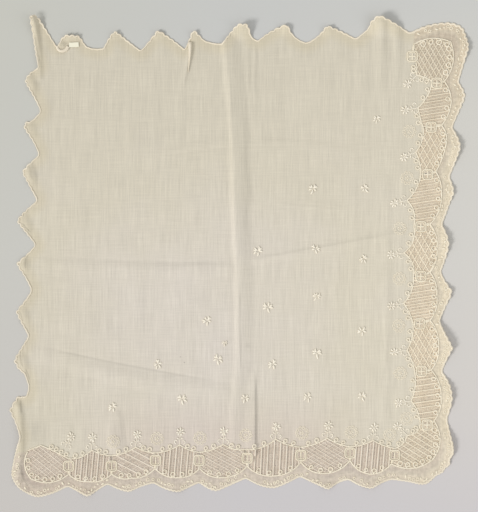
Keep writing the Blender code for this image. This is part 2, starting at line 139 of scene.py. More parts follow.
# Border flowers, in millimetres and degrees: the stem, the ring at the heart, the petals,
# and the buds and hooks beside the stem. PETAL_END is a range. HOOK_PLACE is how far up the
# stem and how far beside it a hook's middle lies, and HOOK_TURN where a hook starts and ends.
# The last cartouche's flower stands beside its peak and leans to the right.
STEM = 22.5
HEART_RADIUS = 1.6
PETALS = 7
PETAL_TURN = 51.4
PETAL_START = 2.4
PETAL_END = (6.8, 9.4)
PETAL_BOW = 0.15
BUD_PLACE = 9.5
BUD_LEAN = 62
HOOK_PLACE = (5.0, 6.5)
HOOK_RADIUS = 2.9
HOOK_TURN = (190, -40)
LAST_FLOWER_FOOT = (-305.0, -335.0)
LAST_FLOWER_WAY = (0.5, 0.87)

# How many degrees a petal or a sprig's leaf may swing, and the uneven lengths of those leaves
LEAF_SWING = 9
SPRIG_LENGTHS = (0.85, 1.1)

# Rosettes: how far they stand from the junctions of the inner cords and the radius of their
# circle of rings, in millimetres, and how many rings and leaves they have
ROSETTE_DISTANCE = 25.0
ROSETTE_RADIUS = 9.2
ROSETTE_RINGS = 10
ROSETTE_LEAVES = 5

# Marks of the band: how far apart they are and how far inside the edge, the share of the
# places that stay bare and of the rest that are rings, and the sizes of rings and dots
MARK_SPACING = 7.0
MARK_DEPTH = (3.8, 9.5)
BARE_SHARE = 0.3
RING_SHARE = 0.5
RING_RADIUS = (1.9, 2.6)
RING_WIDTH = (1.2, 1.8)
DOT_REACH = (1.6, 3.4)


def table(title, columns, rows):
    """Rows whose columns have names."""
    kind = namedtuple(title, columns)
    return [kind(*row) for row in rows]


# One row for each scallop, clockwise from the raised corner at the top left. An edge runs
# from the valley out to the tip, and on to the next row's valley. A bow is how far that
# run swells outwards, as a share of its length.
SCALLOPS = table("Scallop", "valley_x valley_y tip_x tip_y bow_out bow_back", [
    (-351, 329, -365, 420, 0.01, 0.00),
    (-358, 421, -351, 417, 0.00, 0.00),
    (-318, 365, -306, 386, 0.05, 0.00),
    (-296, 386, -279, 385, 0.00, 0.00),
    (-268, 367, -256, 363, 0.00, 0.00),
    (-237, 363, -217, 394, 0.06, 0.00),
    (-172, 359, -142, 395, 0.00, 0.03),
    (-95, 361, -80, 396, 0.00, 0.02),
    (-61, 377, -46, 373, 0.00, 0.00),
    (-30, 371, -2, 405, 0.03, 0.00),
    (15, 404, 21, 384, 0.00, 0.00),
    (32, 376, 84, 405, 0.06, -0.13),
    (118, 373, 153, 403, -0.08, 0.03),
    (204, 380, 226, 398, 0.00, 0.00),
    (229, 408, 243, 420, 0.02, 0.03),
    (299, 390, 369, 407, 0.07, 0.05),
    (390, 399, 400, 366, 0.02, 0.00),
    (382, 304, 394, 279, 0.08, 0.00),
    (371, 225, 385, 191, 0.06, 0.02),
    (366, 139, 374, 111, 0.04, 0.00),
    (353, 55, 365, 20, 0.06, 0.03),
    (351, -27, 371, -62, -0.03, 0.00),
    (349, -113, 372, -160, -0.03, -0.02),
    (353, -202, 371, -245, 0.08, 0.04),
    (362, -284, 371, -325, 0.00, 0.03),
    (373, -346, 366, -354, 0.00, 0.00),
    (368, -365, 359, -369, 0.00, 0.00),
    (357, -377, 343, -383, 0.00, 0.00),
    (338, -389, 327, -398, 0.00, 0.00),
    (313, -398, 300, -395, 0.00, 0.00),
    (266, -390, 232, -406, -0.04, 0.07),
    (192, -390, 156, -408, -0.07, 0.00),
    (106, -385, 62, -405, 0.03, 0.08),
    (12, -388, -40, -411, 0.00, 0.07),
    (-70, -395, -106, -412, 0.01, 0.07),
    (-149, -396, -192, -412, -0.03, 0.05),
    (-230, -398, -265, -420, 0.00, 0.00),
    (-300, -402, -353, -421, 0.05, 0.06),
    (-387, -404, -398, -384, 0.01, 0.03),
    (-383, -317, -402, -270, -0.04, 0.01),
    (-387, -245, -372, -246, 0.00, 0.00),
    (-368, -229, -376, -204, 0.00, 0.00),
    (-384, -200, -394, -183, 0.00, 0.01),
    (-368, -140, -391, -97, 0.00, -0.03),
    (-363, -60, -390, -13, -0.03, -0.03),
    (-356, 20, -389, 62, 0.00, 0.04),
    (-353, 97, -380, 148, 0.00, 0.02),
    (-350, 177, -376, 224, -0.04, 0.00),
    (-375, 234, -363, 236, 0.00, 0.00),
    (-347, 253, -375, 306, -0.02, 0.12),
])

# The small worked squares between the cartouches, from the top right corner round to the
# bottom left. The cartouches' inner and outer cords meet at the two junctions.
MEDALLIONS = table("Medallion", "x y inner_x inner_y outer_x outer_y", [
    (303, 350, 310, 338, 306, 371),
    (346, 303, 338, 306, 359, 306),
    (336, 226, 322, 225, 354, 229),
    (330, 143, 318, 144, 344, 148),
    (318, 52, 306, 53, 334, 56),
    (318, -35, 305, -35, 334, -28),
    (316, -118, 304, -117, 334, -112),
    (319, -201, 307, -201, 336, -199),
    (329, -295, 317, -292, 341, -288),
    (272, -348, 273, -336, 266, -363),
    (194, -344, 194, -333, 194, -357),
    (108, -348, 108, -334, 108, -360),
    (14, -353, 10, -338, 14, -367),
    (-70, -357, -70, -343, -69, -371),
    (-146, -357, -146, -344, -147, -371),
    (-223, -367, -223, -349, -223, -381),
    (-298, -367, -299, -354, -298, -381),
    (-370, -341, -370, -340, -370, -342),
])

# One row for each cartouche, between medallions in the order above. Its inner cord comes
# to a peak towards the middle of the cloth and its outer cord swells towards the edge.
# The filling is a lattice of crossing threads or a row of bars.
CARTOUCHES = table(
    "Cartouche", "filling inner_x inner_y outer_x outer_y bow_a bow_b swell_a swell_b", [
    ("lattice", 311, 317, 370, 375, 0.00, -0.05, 0.13, 0.14),
    ("bars", 313, 260, 371, 271, -0.09, 0.02, 0.08, 0.08),
    ("lattice", 309, 182, 363, 203, -0.10, -0.06, 0.10, 0.05),
    ("bars", 294, 98, 354, 111, -0.09, -0.13, 0.08, 0.11),
    ("lattice", 288, 6, 346, 14, -0.15, -0.16, 0.10, 0.10),
    ("bars", 288, -82, 346, -70, -0.11, -0.05, 0.09, 0.10),
    ("lattice", 294, -164, 348, -155, -0.08, -0.04, 0.10, 0.11),
    ("bars", 301, -253, 353, -246, -0.08, -0.08, 0.10, 0.10),
    ("lattice", 294, -313, 339, -355, -0.22, -0.14, 0.17, 0.16),
    ("bars", 234, -322, 229, -381, -0.05, -0.06, 0.12, 0.13),
    ("lattice", 154, -318, 147, -380, -0.06, -0.06, 0.12, 0.12),
    ("bars", 64, -320, 61, -384, -0.06, -0.10, 0.12, 0.12),
    ("lattice", -28, -329, -32, -387, -0.09, -0.06, 0.12, 0.12),
    ("bars", -104, -330, -107, -387, -0.06, -0.06, 0.12, 0.12),
    ("lattice", -181, -334, -188, -388, -0.06, -0.06, 0.12, 0.12),
    ("bars", -258, -339, -263, -394, -0.06, -0.12, 0.12, 0.12),
    ("lattice", -347, -331, -364, -389, 0.02, 0.00, 0.16, 0.17),
])

# One row for each set of parallel threads in a cartouche, counted from the top right: two
# sets make a lattice and one makes a row of bars. Lean is their angle in degrees from the
# X axis, pitch is how far apart they lie, and phase is how many pitches one of them lies
# from the middle between the peak and the swell. Then come a thread's width and height,
# and the width of a finer thread midway between two, or 0 where there is none.
THREAD_SETS = table("ThreadSet", "cartouche lean pitch phase width height between", [
    (0, 59, 9.0, -0.19, 1.9, 0.9, 0.9),
    (0, -60, 8.0, -0.38, 2.1, 0.5, 0.0),
    (1, 9, 10.3, -0.44, 1.8, 0.9, 1.3),
    (2, 60, 10.1, -0.10, 1.7, 0.9, 0.5),
    (2, -61, 10.5, -0.34, 1.8, 0.5, 0.5),
    (3, 9, 9.5, 0.05, 1.6, 0.9, 0.9),
    (4, 62, 11.0, 0.11, 1.7, 0.9, 0.8),
    (4, -60, 10.5, 0.48, 1.8, 0.5, 0.4),
    (5, 9, 10.3, 0.40, 1.7, 0.9, 1.2),
    (6, 64, 9.6, 0.25, 1.5, 0.8, 0.6),
    (6, -59, 10.3, 0.30, 1.7, 0.5, 0.5),
    (7, 8, 9.7, -0.44, 2.1, 1.0, 0.7),
    (8, 35, 10.0, -0.18, 1.3, 0.7, 0.6),
    (8, -32, 8.2, 0.36, 2.2, 0.5, 0.5),
    (9, 85, 9.9, -0.17, 2.5, 1.5, 1.0),
    (10, 29, 9.4, 0.14, 0.9, 0.4, 0.0),
    (10, -31, 10.7, 0.24, 1.4, 0.7, 1.1),
    (11, 87, 11.0, 0.16, 2.6, 1.5, 1.1),
    (12, 27, 9.2, -0.31, 0.9, 0.4, 0.5),
    (12, -28, 9.8, 0.14, 1.5, 0.6, 1.0),
    (13, 85, 10.3, -0.44, 2.6, 1.4, 1.1),
    (14, 32, 8.4, -0.06, 0.9, 0.4, 0.0),
    (14, -27, 10.7, -0.26, 2.3, 0.5, 0.4),
    (15, 85, 9.4, -0.39, 2.3, 1.6, 1.0),
    (16, 34, 8.0, 0.44, 0.9, 0.4, 0.0),
    (16, -39, 10.5, 0.38, 1.5, 0.5, 0.8),
])

# One row for each section of a fold: a curved line through three points, the height of
# its crest at both ends, and how far each side reaches.
FOLDS = table("Fold", "start_x start_y mid_x mid_y end_x end_y rise_start rise_end left right", [
    (-27, 392, -15, 274, -9, 160, 3.5, 5.5, 31, 9),
    (-9, 160, -7, 72, -3, -7, 5.5, 5.5, 31, 9),
    (-3, -7, -1, -103, -2, -199, 5.5, 4.0, 29, 9),
    (-2, -199, -7, -252, -13, -322, 4.0, 1.5, 26, 10),
    (25, -205, 27, -280, 27, -345, 0.5, 3.5, 7, 24),
    (-84, 370, -91, 335, -101, 285, 3.5, 0.0, 7, 7),
    (-351, -8, -191, -19, -11, -17, 0.8, 1.6, 8, 24),
    (28, -6, 129, 11, 281, 41, 1.6, 1.2, 7, 12),
    (-191, 165, -86, 189, -18, 200, 0.4, 1.0, 14, 9),
    (28, 198, 89, 199, 194, 186, 1.0, 0.4, 9, 14),
    (-345, -172, -293, -184, -226, -203, 0.8, 1.8, 16, 22),
    (-226, -203, -139, -220, -25, -236, 1.8, 1.6, 18, 24),
    (70, 93, 125, 90, 173, 84, 0.4, 0.8, 12, 9),
    (248, 404, 249, 330, 246, 262, 4.0, 0.0, 13, 13),
    (276, 398, 277, 330, 270, 250, 3.0, 0.0, 12, 12),
    (257, 133, 260, -77, 257, -287, 0.8, 0.8, 12, 14),
    (-360, 414, -352, 368, -349, 312, 7.0, 2.0, 8, 8),
    (-386, -262, -382, -322, -386, -392, 4.0, 4.0, 10, 12),
    (-212, -285, -222, -312, -214, -336, 1.5, 3.0, 22, 16),
])

# One row for each curled or lifted place: its middle, how far it reaches across and
# along, its turn in degrees and its height. A middle on the edge lifts the edge; one a
# little inside it makes the edge roll over.
LIFTS = table("Lift", "x y across along turn height", [
    (-362, 301, 12, 26, 8, 3.5),
    (-363, 220, 12, 22, 8, 2.0),
    (-364, 142, 13, 26, 8, 4.8),
    (-371, 54, 12, 24, 8, 2.8),
    (-375, -14, 11, 18, 8, 3.6),
    (-376, -106, 12, 22, 8, 3.0),
    (-377, -187, 12, 22, 4, 3.4),
    (-362, 424, 34, 44, 0, 9.0),
    (-310, 369, 10, 8, 20, 3.0),
    (-291, 392, 30, 18, 0, 8.0),
    (-217, 396, 24, 22, 0, 4.5),
    (-142, 398, 24, 22, 0, 4.5),
    (-80, 398, 20, 24, 0, 5.0),
    (8, 410, 30, 36, 0, 15.0),
    (86, 408, 28, 26, 0, 6.5),
    (155, 405, 26, 24, 0, 5.5),
    (250, 424, 56, 44, 0, 15.0),
    (402, 364, 26, 34, 0, 5.5),
    (388, 188, 34, 44, 0, 6.5),
    (378, 112, 22, 26, 0, 4.0),
    (369, 30, 34, 40, 0, 7.0),
    (372, -62, 22, 26, 0, 4.5),
    (372, -142, 44, 58, 0, 10.0),
    (376, -240, 36, 40, 0, 7.0),
    (378, -332, 40, 46, 0, 7.5),
    (234, -406, 26, 20, 0, 4.0),
    (157, -410, 28, 20, 0, 4.5),
    (-104, -413, 26, 18, 0, 3.0),
    (-265, -422, 26, 18, 0, 3.5),
])

# Fine creases pressed into the muslin: a curved line through three points, how far a
# crease reaches to each side, its height, which is below 0 for a trough, and the share of
# the light that is lost at its middle.
CREASES = table("Crease", "start_x start_y mid_x mid_y end_x end_y reach height shade", [
    (-345, -158, -203, -188, -35, -218, 4.0, -0.60, 0.05),
    (-330, 1, -170, -9, -8, -8, 4.5, -0.35, 0.02),
    (40, -3, 129, 13, 281, 40, 3.5, 0.25, 0.01),
    (-21, 350, -14, 240, -10, 130, 4.0, 0.40, 0.00),
    (-10, 150, -7, 60, -4, -30, 4.0, 0.40, 0.00),
    (8, 290, 10, 160, 7, -20, 12.0, 0.70, 0.02),
    (0, -40, 0, -110, 2, -215, 3.5, 0.80, 0.03),
    (15, 372, 17, 330, 18, 280, 4.5, 0.70, 0.05),
    (28, 375, 29, 325, 29, 270, 5.0, 0.70, 0.05),
    (27, -202, 28, -270, 27, -355, 4.0, 1.40, 0.16),
    (-80, 372, -92, 325, -97, 290, 4.0, 0.80, 0.04),
    (70, 93, 125, 90, 173, 84, 4.0, -0.35, 0.02),
    (-186, 166, -60, 186, 180, 189, 4.0, -0.25, 0.01),
    (258, 130, 260, -60, 257, -250, 9.0, 0.50, 0.01),
    (-210, -270, -208, -300, -204, -330, 9.0, 0.90, 0.03),
    (-363, 404, -359, 370, -351, 338, 4.5, 0.80, 0.00),
    (-357, 392, -352, 362, -345, 330, 3.0, -0.60, 0.08),
    (-374, 230, -372, 221, -369, 214, 2.6, -0.50, 0.14),
    (-365, 160, -364, 147, -361, 134, 5.0, -0.80, 0.09),
    (-379, 59, -372, 50, -364, 42, 2.6, -0.60, 0.20),
    (-371, -2, -373, -12, -373, -22, 3.0, -0.60, 0.12),
    (-385, -92, -381, -103, -377, -114, 2.6, -0.50, 0.14),
    (-382, -168, -381, -182, -377, -195, 2.8, -0.60, 0.16),
    (-373, -196, -369, -206, -366, -217, 2.4, -0.50, 0.14),
    (-382, -248, -381, -262, -379, -276, 3.4, -0.60, 0.16),
    (-382, -356, -377, -384, -364, -412, 3.6, -0.60, 0.15),
])

# Painted light on the worked threads: how bright they are drawn at each height of the cloth
PAINTED_LIGHT_BY_HEIGHT = table("PaintedLightByHeight", "y share", [
    (-420, 1.03),
    (-335, 1.035),
    (-270, 1.12),
    (-120, 1.15),
    (60, 1.11),
    (200, 1.10),
    (280, 1.04),
    (350, 0.965),
])

# Colours that parts of the threads, the cloth and the floor are multiplied by
UNTINTED = (1.0, 1.0, 1.0)
# The darker tone of a thread: in clouds it is the thread's own uneven tone, and in the grooves between
# stitches it is painted shade
THREAD_DARK_TONE_AND_GROOVE_SHADE = (0.86, 0.83, 0.78)
COOL_BOTTOM = (1.0, 1.0, 1.07)
BOTTOM_TINT = (0.89, 0.88, 0.95)
HEM_TINT = (0.975, 0.955, 0.90)
ENDS_TINT = (0.945, 0.92, 0.91)
LOW_TINT = (0.972, 0.940, 0.965)
# Painted light and shade on the plain floor, towards each side: warmer at the left, brighter to the
# right, darker at the top, and a little darker and pinker at the bottom
PAINTED_FLOOR_LIGHT_LEFT = (1.01, 1.00, 0.935)
PAINTED_FLOOR_LIGHT_RIGHT = (1.077, 1.05, 0.995)
PAINTED_FLOOR_SHADE_TOP = (0.968, 0.978, 0.957)
PAINTED_FLOOR_SHADE_BOTTOM = (1.00, 0.968, 0.99)

# How a share changes across the cloth or the floor: its values at two places along an axis,
# which are in metres from the model's origin. Past them it stays as it is there.
Ramp = namedtuple("Ramp", "axis start end at_start at_end")
LEVEL_WEIGHT = Ramp("X", -0.1, 0.2, 0.26, 0.22)
AGED_TOP = Ramp("Y", 0.05, 0.4, 0, 0.4)
TOP_LIGHT = Ramp("Y", 0.0, 0.35, 1.0, 0.95)
LOW_PART = Ramp("Y", -0.24, -0.31, 0, 1)
BOTTOM_PART = Ramp("Y", -0.30, -0.36, 0, 1)
BOTTOM_FADE = Ramp("X", 0.20, 0.32, 1, 0.35)
RIGHT_OF_RIM = Ramp("X", -0.39, -0.36, 0, 1)
COOL_PART = Ramp("X", 0.24, 0.30, 1, 0)
# Where the painted light and shade of the floor fall
PAINTED_FLOOR_LIGHT = (
    (Ramp("X", 0.0, -0.42, 0, 1), PAINTED_FLOOR_LIGHT_LEFT),
    (Ramp("X", 0.0, 0.42, 0, 1), PAINTED_FLOOR_LIGHT_RIGHT),
    (Ramp("Y", 0.0, 0.44, 0, 1), PAINTED_FLOOR_SHADE_TOP),
    (Ramp("Y", 0.0, -0.44, 0, 1), PAINTED_FLOOR_SHADE_BOTTOM),
)

# Noises of the muslin: how many spots fit a metre along X, Y and Z, and the weight of each
# kind of uneven thread. The level threads' weight is the ramp above.
UNEVEN_THREADS = (
    ((520.0, 21.0, 1.0), 0.48),
    ((95.0, 6.0, 1.0), 0.2),
    ((420.0, 420.0, 1.0), 0.15),
)
LEVEL_THREADS = (21.0, 520.0, 1.0)
AGE_CLOUDS = (7.0, 7.0, 7.0)
SPECKLES = (170.0, 170.0, 1.0)

# The middle of the part that aged least, in metres, and the share of half its length where
# a crease starts to fade towards its ends
FRESH_MIDDLE = (-0.07, -0.12, 0.0)
CREASE_FADE = 0.6

# Small stains and wider faint darker patches: the middle of each, how far it reaches and how dark it
# is
DARK_SPOTS = table("DarkSpot", "x y reach depth", [
    (-23, -155, 1.8, 0.55),
    (-103, -176, 1.6, 0.40),
    (-96, -186, 1.8, 0.45),
    (15, -156, 6.0, 0.10),
    (-378, -15, 9.0, 0.10),
    (240, -330, 22.0, 0.05),
    (-357, -306, 34.0, 0.09),
    (-150, -392, 16.0, 0.08),
])

# Narrow pieces of the cloth that are turned over or pinched up: the line of each, its width
# at the start and at the end of the line, and its height
TURNED = table("Turned", "line width end_width height", [
    ([(-319, 368), (-317, 362), (-313, 359), (-307, 359), (-302, 362), (-299, 367)], 4.5, 6.5, 1.5),
    ([(-86, 375), (-86, 360), (-87, 343), (-89, 322)], 6.5, 0.8, 1.3),
])

# The small flowers scattered over the ground, each turned and sized one by one
SPRIGS = table("Sprig", "x y turn size mirrored", [
    (241, 240, 10, 0.85, 1),
    (129, 118, 0, 1.00, 1),
    (220, 119, 25, 0.95, -1),
    (33, 9, 20, 1.05, 1),
    (134, 13, -15, 1.05, -1),
    (218, -5, 40, 0.95, 1),
    (50, -89, 5, 1.15, -1),
    (136, -70, -20, 0.90, 1),
    (215, -131, 15, 1.00, 1),
    (136, -169, -10, 1.10, -1),
    (59, -189, 30, 1.00, 1),
    (215, -245, 0, 1.00, -1),
    (120, -246, 20, 1.00, 1),
    (10, -248, -25, 1.00, -1),
    (-56, -113, 10, 1.05, 1),
    (-37, -180, -15, 1.10, -1),
    (-142, -189, 50, 1.00, 1),
    (-100, -250, -5, 1.10, -1),
    (-221, -264, 35, 1.05, 1),
    (-25, -152, 0, 0.60, 1),
])

# A sprig's satin leaves: the angle and reach of each, and how far it bows to its left
SPRIG_LEAVES = table("Leaf", "angle inner outer bow", [
    (112, 1.2, 8.0, 0.10),
    (62, 1.0, 8.6, -0.22),
    (18, 2.0, 8.2, 0.16),
    (-28, 1.6, 7.4, 0.10),
    (198, 1.8, 8.6, -0.14),
    (150, 2.6, 8.0, 0.12),
    (248, 1.0, 9.6, 0.10),
])


def length(name, description, size):
    """A length that a user may change, given here in millimetres."""
    return FloatProperty(
        name=name, description=description, default=size * MM, min=0.0, precision=5,
        unit="LENGTH", subtype="DISTANCE",
    )


def share(name, description, size):
    """A share from 0 to 1 that a user may change."""
    return FloatProperty(
        name=name, description=description, default=size, min=0.0, max=1.0, subtype="FACTOR"
    )


def colour(name, description, value):
    """A linear colour that a user may change."""
    return FloatVectorProperty(
        name=name, description=description, default=value, min=0.0, max=1.0, subtype="COLOR"
    )


class FichuCloth(bpy.types.PropertyGroup):
    """Sizes of the muslin ground."""

    grid: length("Grid", "How far apart the points of the sheet lie", 2.9)
    lift: length("Lift", "Height of the sheet over the underside of the solid", 0.5)
    ripple: length("Ripple", "Height of the faint unevenness all over the cloth", 0.09)
    solidity: share("Solidity", "How much of the light the ground stops", 0.9)
    band_solidity: share("Band solidity", "The same for the netted band at the edge", 0.80)


class FichuThreads(bpy.types.PropertyGroup):
    """Sizes of the threads and stitches."""

    net_pitch: length("Net pitch", "Distance between the fine threads of the net", 2.1)
    net_thread: length("Net thread", "Width of a fine thread of the net", 1.3)
    lattice_thread: share("Lattice thread", "Share of their own width that crossing threads have", 1.0)
    bar_thread: share("Bar thread", "Share of their own width that bars have", 1.0)
    cord_thread: length("Cord", "Width of a cartouche's cord", 2.2)
    curl_thread: length("Curl thread", "Width of the thread of a ring curl", 1.9)
    curl_radius: length("Curl radius", "Radius of a ring curl at its thread's middle", 2.9)
    curl_distance: length("Curl distance", "From a cord to a ring curl's middle", 5.4)
    edge_thread: length("Edge", "Width of the buttonholed edge", 3.2)
    edge_wave: length("Edge wave", "Depth of the small waves of the edge", 2.6)
    edge_stitch: length("Edge stitch", "Length of one small wave of the edge", 10.5)
    leaf_width: length("Leaf width", "Width of a satin leaf", 2.8)
    fine_thread: length("Fine thread", "Width of the tone on tone outlines", 1.1)
    medallion: length("Medallion", "Half the width of a medallion at its cord", 8.8)
    seed: IntProperty(name="Seed", description="Seed of the threads' unevenness", default=7)


class FichuColours(bpy.types.PropertyGroup):
    """Colours of the cloth and threads."""

    muslin: colour("Muslin", "Pale tone of the ground", (0.772, 0.701, 0.616))
    muslin_aged: colour("Aged muslin", "Yellowed tone of the ground", (0.747, 0.680, 0.548))
    rim: colour("Rim", "Closely worked ground along the edge", (0.785, 0.685, 0.52))
    strip: colour("Strip", "Open ground between the outer cords and the rim", (0.75, 0.65, 0.505))
    net: colour("Net", "Fine threads of the net", (0.748, 0.637, 0.494))
    lattice: colour("Lattice", "Crossing threads and bars", (0.83, 0.74, 0.58))
    cord: colour("Cord", "Cords and ring curls", (0.925, 0.84, 0.68))
    satin: colour("Satin", "Flowers and leaves", (0.975, 0.905, 0.77))
    edge: colour("Edge", "Buttonholed edge", (0.86, 0.77, 0.62))
    mark: colour("Mark", "Medallions, and the rings and dots of the band", (0.90, 0.815, 0.65))
    tape: colour("Tape", "Bare tape", (0.97, 0.92, 0.74))
    floor: colour("Floor", "Surface under the cloth", (0.60, 0.59, 0.58))


def turning(name, description, degrees):
    """An angle that a user may change, given here in degrees."""
    return FloatProperty(
        name=name, description=description, default=radians(degrees), subtype="ANGLE"
    )


def power(name, description, size):
    """The strength of a light, which a user may change."""
    return FloatProperty(name=name, description=description, default=size)


class FichuStage(bpy.types.PropertyGroup):
    """Camera and lights."""

    camera_height: length("Camera height", "How high the camera is over the floor", 3000.0)
    view_height: length("View height", "Height of the camera's picture on the floor", 896.0)
    key_strength: power("Key", "Strength of the key light", 1.8)
    key_elevation: turning("Key elevation", "Height of the key light over the horizon", 36)
    key_bearing: turning(
        "Key bearing", "Where the key light comes from, anticlockwise from +X", 210
    )
    key_softness: turning("Key softness", "Width of the key light, as an angle", 19)
    sky_strength: power("Sky", "Strength of the soft light", 0.62)
    fill_power: power("Fill", "Power of the fill light", 6.0)


def thread_settings():
    """The settings of the threads and of the colours."""
    scene = bpy.context.scene
    return scene.fichu_threads, scene.fichu_colours


def unit(way):
    """A direction: the vector over its own length."""
    return way / hypot(*way)


def direction(degrees):
    """The direction (cos a, sin a) of each angle."""
    turn = np.radians(degrees)
    return np.stack([np.cos(turn), np.sin(turn)], axis=-1)


def heading(way):
    """The angle of a vector, in degrees."""
    return np.degrees(np.arctan2(way[1], way[0]))


def quarter_turn(way):
    """Each vector (x, y) turned to its left, which gives (-y, x)."""
    return np.stack([-way[..., 1], way[..., 0]], axis=-1)


def inner_place(row):
    """Where a cartouche's peak is, or where the inner cords meet at a medallion."""
    return np.array([row.inner_x, row.inner_y], float)


def outer_place(row):
    """Where a cartouche's swell is, or where the outer cords meet at a medallion."""
    return np.array([row.outer_x, row.outer_y], float)


def bowed_run(start, end, bow, step):
    """Points from start up to, but not including, end.

    A point at share s is start + run * s + left * bow * 4 * s * (1 - s).
    """
    start = np.array(start, float)
    run = np.array(end, float) - start
    count = max(2, round(float(np.hypot(*run)) / step))
    place = (np.arange(count) / count)[:, None]
    return start + run * place + quarter_turn(run) * bow * 4 * place * (1 - place)


def distances_along(line):
    """How far along an open line each of its points is: the sum of the steps before it."""
    return np.concatenate([[0], np.cumsum(np.hypot(*np.diff(line, axis=0).T))])


def read_between(distances, along, pairs):
    """The pairs that are known at each place along a line, read at other distances."""
    return np.column_stack([np.interp(distances, along, pairs[:, axis]) for axis in (0, 1)])


def evenly_spaced(points, step, closed=True):
    """The line through the points again, with points about step apart along it."""
    ring = np.vstack([points, points[:1]]) if closed else points
    along = distances_along(ring)
    count = max(2, round(along[-1] / step) + (not closed))
    return read_between(np.linspace(0, along[-1], count, endpoint=not closed), along, ring)


def cloth_outline():
    """The scalloped edge of the square, clockwise.

    It is eased several times: each point moves to (the one before + 2 * itself + the one
    after) / 4.
    """
    runs = []
    for row, after in zip(SCALLOPS, SCALLOPS[1:] + SCALLOPS[:1]):
        valley = (row.valley_x, row.valley_y)
        tip = (row.tip_x, row.tip_y)
        runs.append(bowed_run(valley, tip, row.bow_out, EDGE_STEP))
        runs.append(bowed_run(tip, (after.valley_x, after.valley_y), row.bow_back, EDGE_STEP))
    points = evenly_spaced(np.vstack(runs), EDGE_STEP)
    for _ in range(EDGE_ROUNDING_PASSES):
        points = (np.roll(points, 1, 0) + 2 * points + np.roll(points, -1, 0)) / 4
    return points


def inside(points, ring, batch=4000):
    """True for each point that lies within the closed ring, by the even-odd rule."""
    a, b = ring, np.roll(ring, -1, 0)
    rise = np.where(b[:, 1] == a[:, 1], 1.0, b[:, 1] - a[:, 1])
    slope = (b[:, 0] - a[:, 0]) / rise
    found = []
    for some in np.array_split(points, len(points) // batch + 1):
        x, y = some[:, 0][:, None], some[:, 1][:, None]
        spans = (a[:, 1] > y) != (b[:, 1] > y)
        crossing = a[:, 0] + (y - a[:, 1]) * slope
        found.append((spans & (x < crossing)).sum(axis=1) % 2 == 1)
    return np.concatenate(found)


def nearest_place(points, line):
    """The nearest place on an open line to each point, its distance, side and share.

    On a segment the place is a + run * clip(offset . run / run . run, 0, 1); the side is
    + to the left of the line, and the share is how far along the line the place is.
    """
    a, b = line[:-1], line[1:]
    run = b - a
    length_squared = (run**2).sum(axis=1)
    offset = points[:, None, :] - a[None]
    along = np.clip((offset * run).sum(axis=2) / length_squared, 0, 1)
    gap = offset - along[..., None] * run
    distance = np.hypot(gap[..., 0], gap[..., 1])
    best = distance.argmin(axis=1)
    rows = np.arange(len(points))
    near_gap, near_run = gap[rows, best], run[best]
    side = np.sign(near_run[:, 0] * near_gap[:, 1] - near_run[:, 1] * near_gap[:, 0])
    lengths = np.sqrt(length_squared)
    before = np.concatenate([[0], np.cumsum(lengths)])
    travelled = before[best] + along[rows, best] * lengths[best]
    return points - near_gap, distance[rows, best], side, travelled / before[-1]


def fold_line(fold):
    """A fold section's crest: the parabola through its start, middle and end."""
    place = np.linspace(0, 1, FOLD_LINE_POINTS)[:, None]
    start = np.array([fold.start_x, fold.start_y], float)
    mid = np.array([fold.mid_x, fold.mid_y], float)
    end = np.array([fold.end_x, fold.end_y], float)
    first = (1 - place) * (1 - 2 * place) * start
    return first + 4 * place * (1 - place) * mid + place * (2 * place - 1) * end


def swell(reach):
    """(1 - reach squared) squared: 1 at the crest, 0 at and past a reach of 1."""
    return (1 - np.clip(reach, 0, 1) ** 2) ** 2


def lifted(points, lift):
    """The height of one lifted place: its height times the swell of the turned ellipse."""
    run = direction(lift.turn)
    offset = points - (lift.x, lift.y)
    across = offset @ run / lift.across
    along = offset @ quarter_turn(run) / lift.along
    return lift.height * swell(np.hypot(across, along))


def solid_height(points):
    """How high the solid's underside lies: the highest of its folds plus all its lifts."""
    height = np.zeros(len(points))
    for fold in FOLDS:
        _, distance, side, along = nearest_place(points, fold_line(fold))
        reach = np.where(side > 0, fold.left, fold.right)
        crest = fold.rise_start + (fold.rise_end - fold.rise_start) * along
        height = np.maximum(height, crest * swell(distance / reach))
    for lift in LIFTS:
        height = height + lifted(points, lift)
    return height


def surface_height(points):
    """The sheet's height: the solid's, the lift off its underside and a faint ripple.

    The ripple is its own size * (2 + three sines of x or y, each bent by a slower sine of
    the other).
    """
    cloth = bpy.context.scene.fichu_cloth
    x, y = points[:, 0], points[:, 1]
    waves = np.sin(x / 6.3 + 1.7 * np.sin(y / 67)) + np.sin(x / 15 + 2 * np.sin(y / 110 + 1))
    waves += np.sin(y / 9.1 + 1.4 * np.sin(x / 83)) + 2
    return solid_height(points) + (cloth.lift + cloth.ripple * waves) / MM


def bent_cord(start, middle, end, first_bow, second_bow):
    """An open line of two bowed runs, which meet at the middle point."""
    runs = [
        bowed_run(start, middle, first_bow, CORD_STEP),
        bowed_run(middle, end, second_bow, CORD_STEP),
    ]
    return np.vstack([*runs, end])


def cartouche_cords(index):
    """The inner and the outer cord of a cartouche, as open lines."""
    row = CARTOUCHES[index]
    rows = (MEDALLIONS[index], row, MEDALLIONS[index + 1])
    inner = bent_cord(*(inner_place(stop) for stop in rows), -row.bow_a, -row.bow_b)
    outer = bent_cord(*(outer_place(stop) for stop in rows), row.swell_a, row.swell_b)
    return inner, outer


def cartouche_ring(index):
    """The closed line round a cartouche: its inner cord out and its outer cord back."""
    inner, outer = cartouche_cords(index)
    return np.vstack([inner, outer[::-1]])


def inward(index):
    """The unit direction from the border towards the middle of the cloth, at a cartouche."""
    row = CARTOUCHES[index]
    return unit(inner_place(row) - outer_place(row))


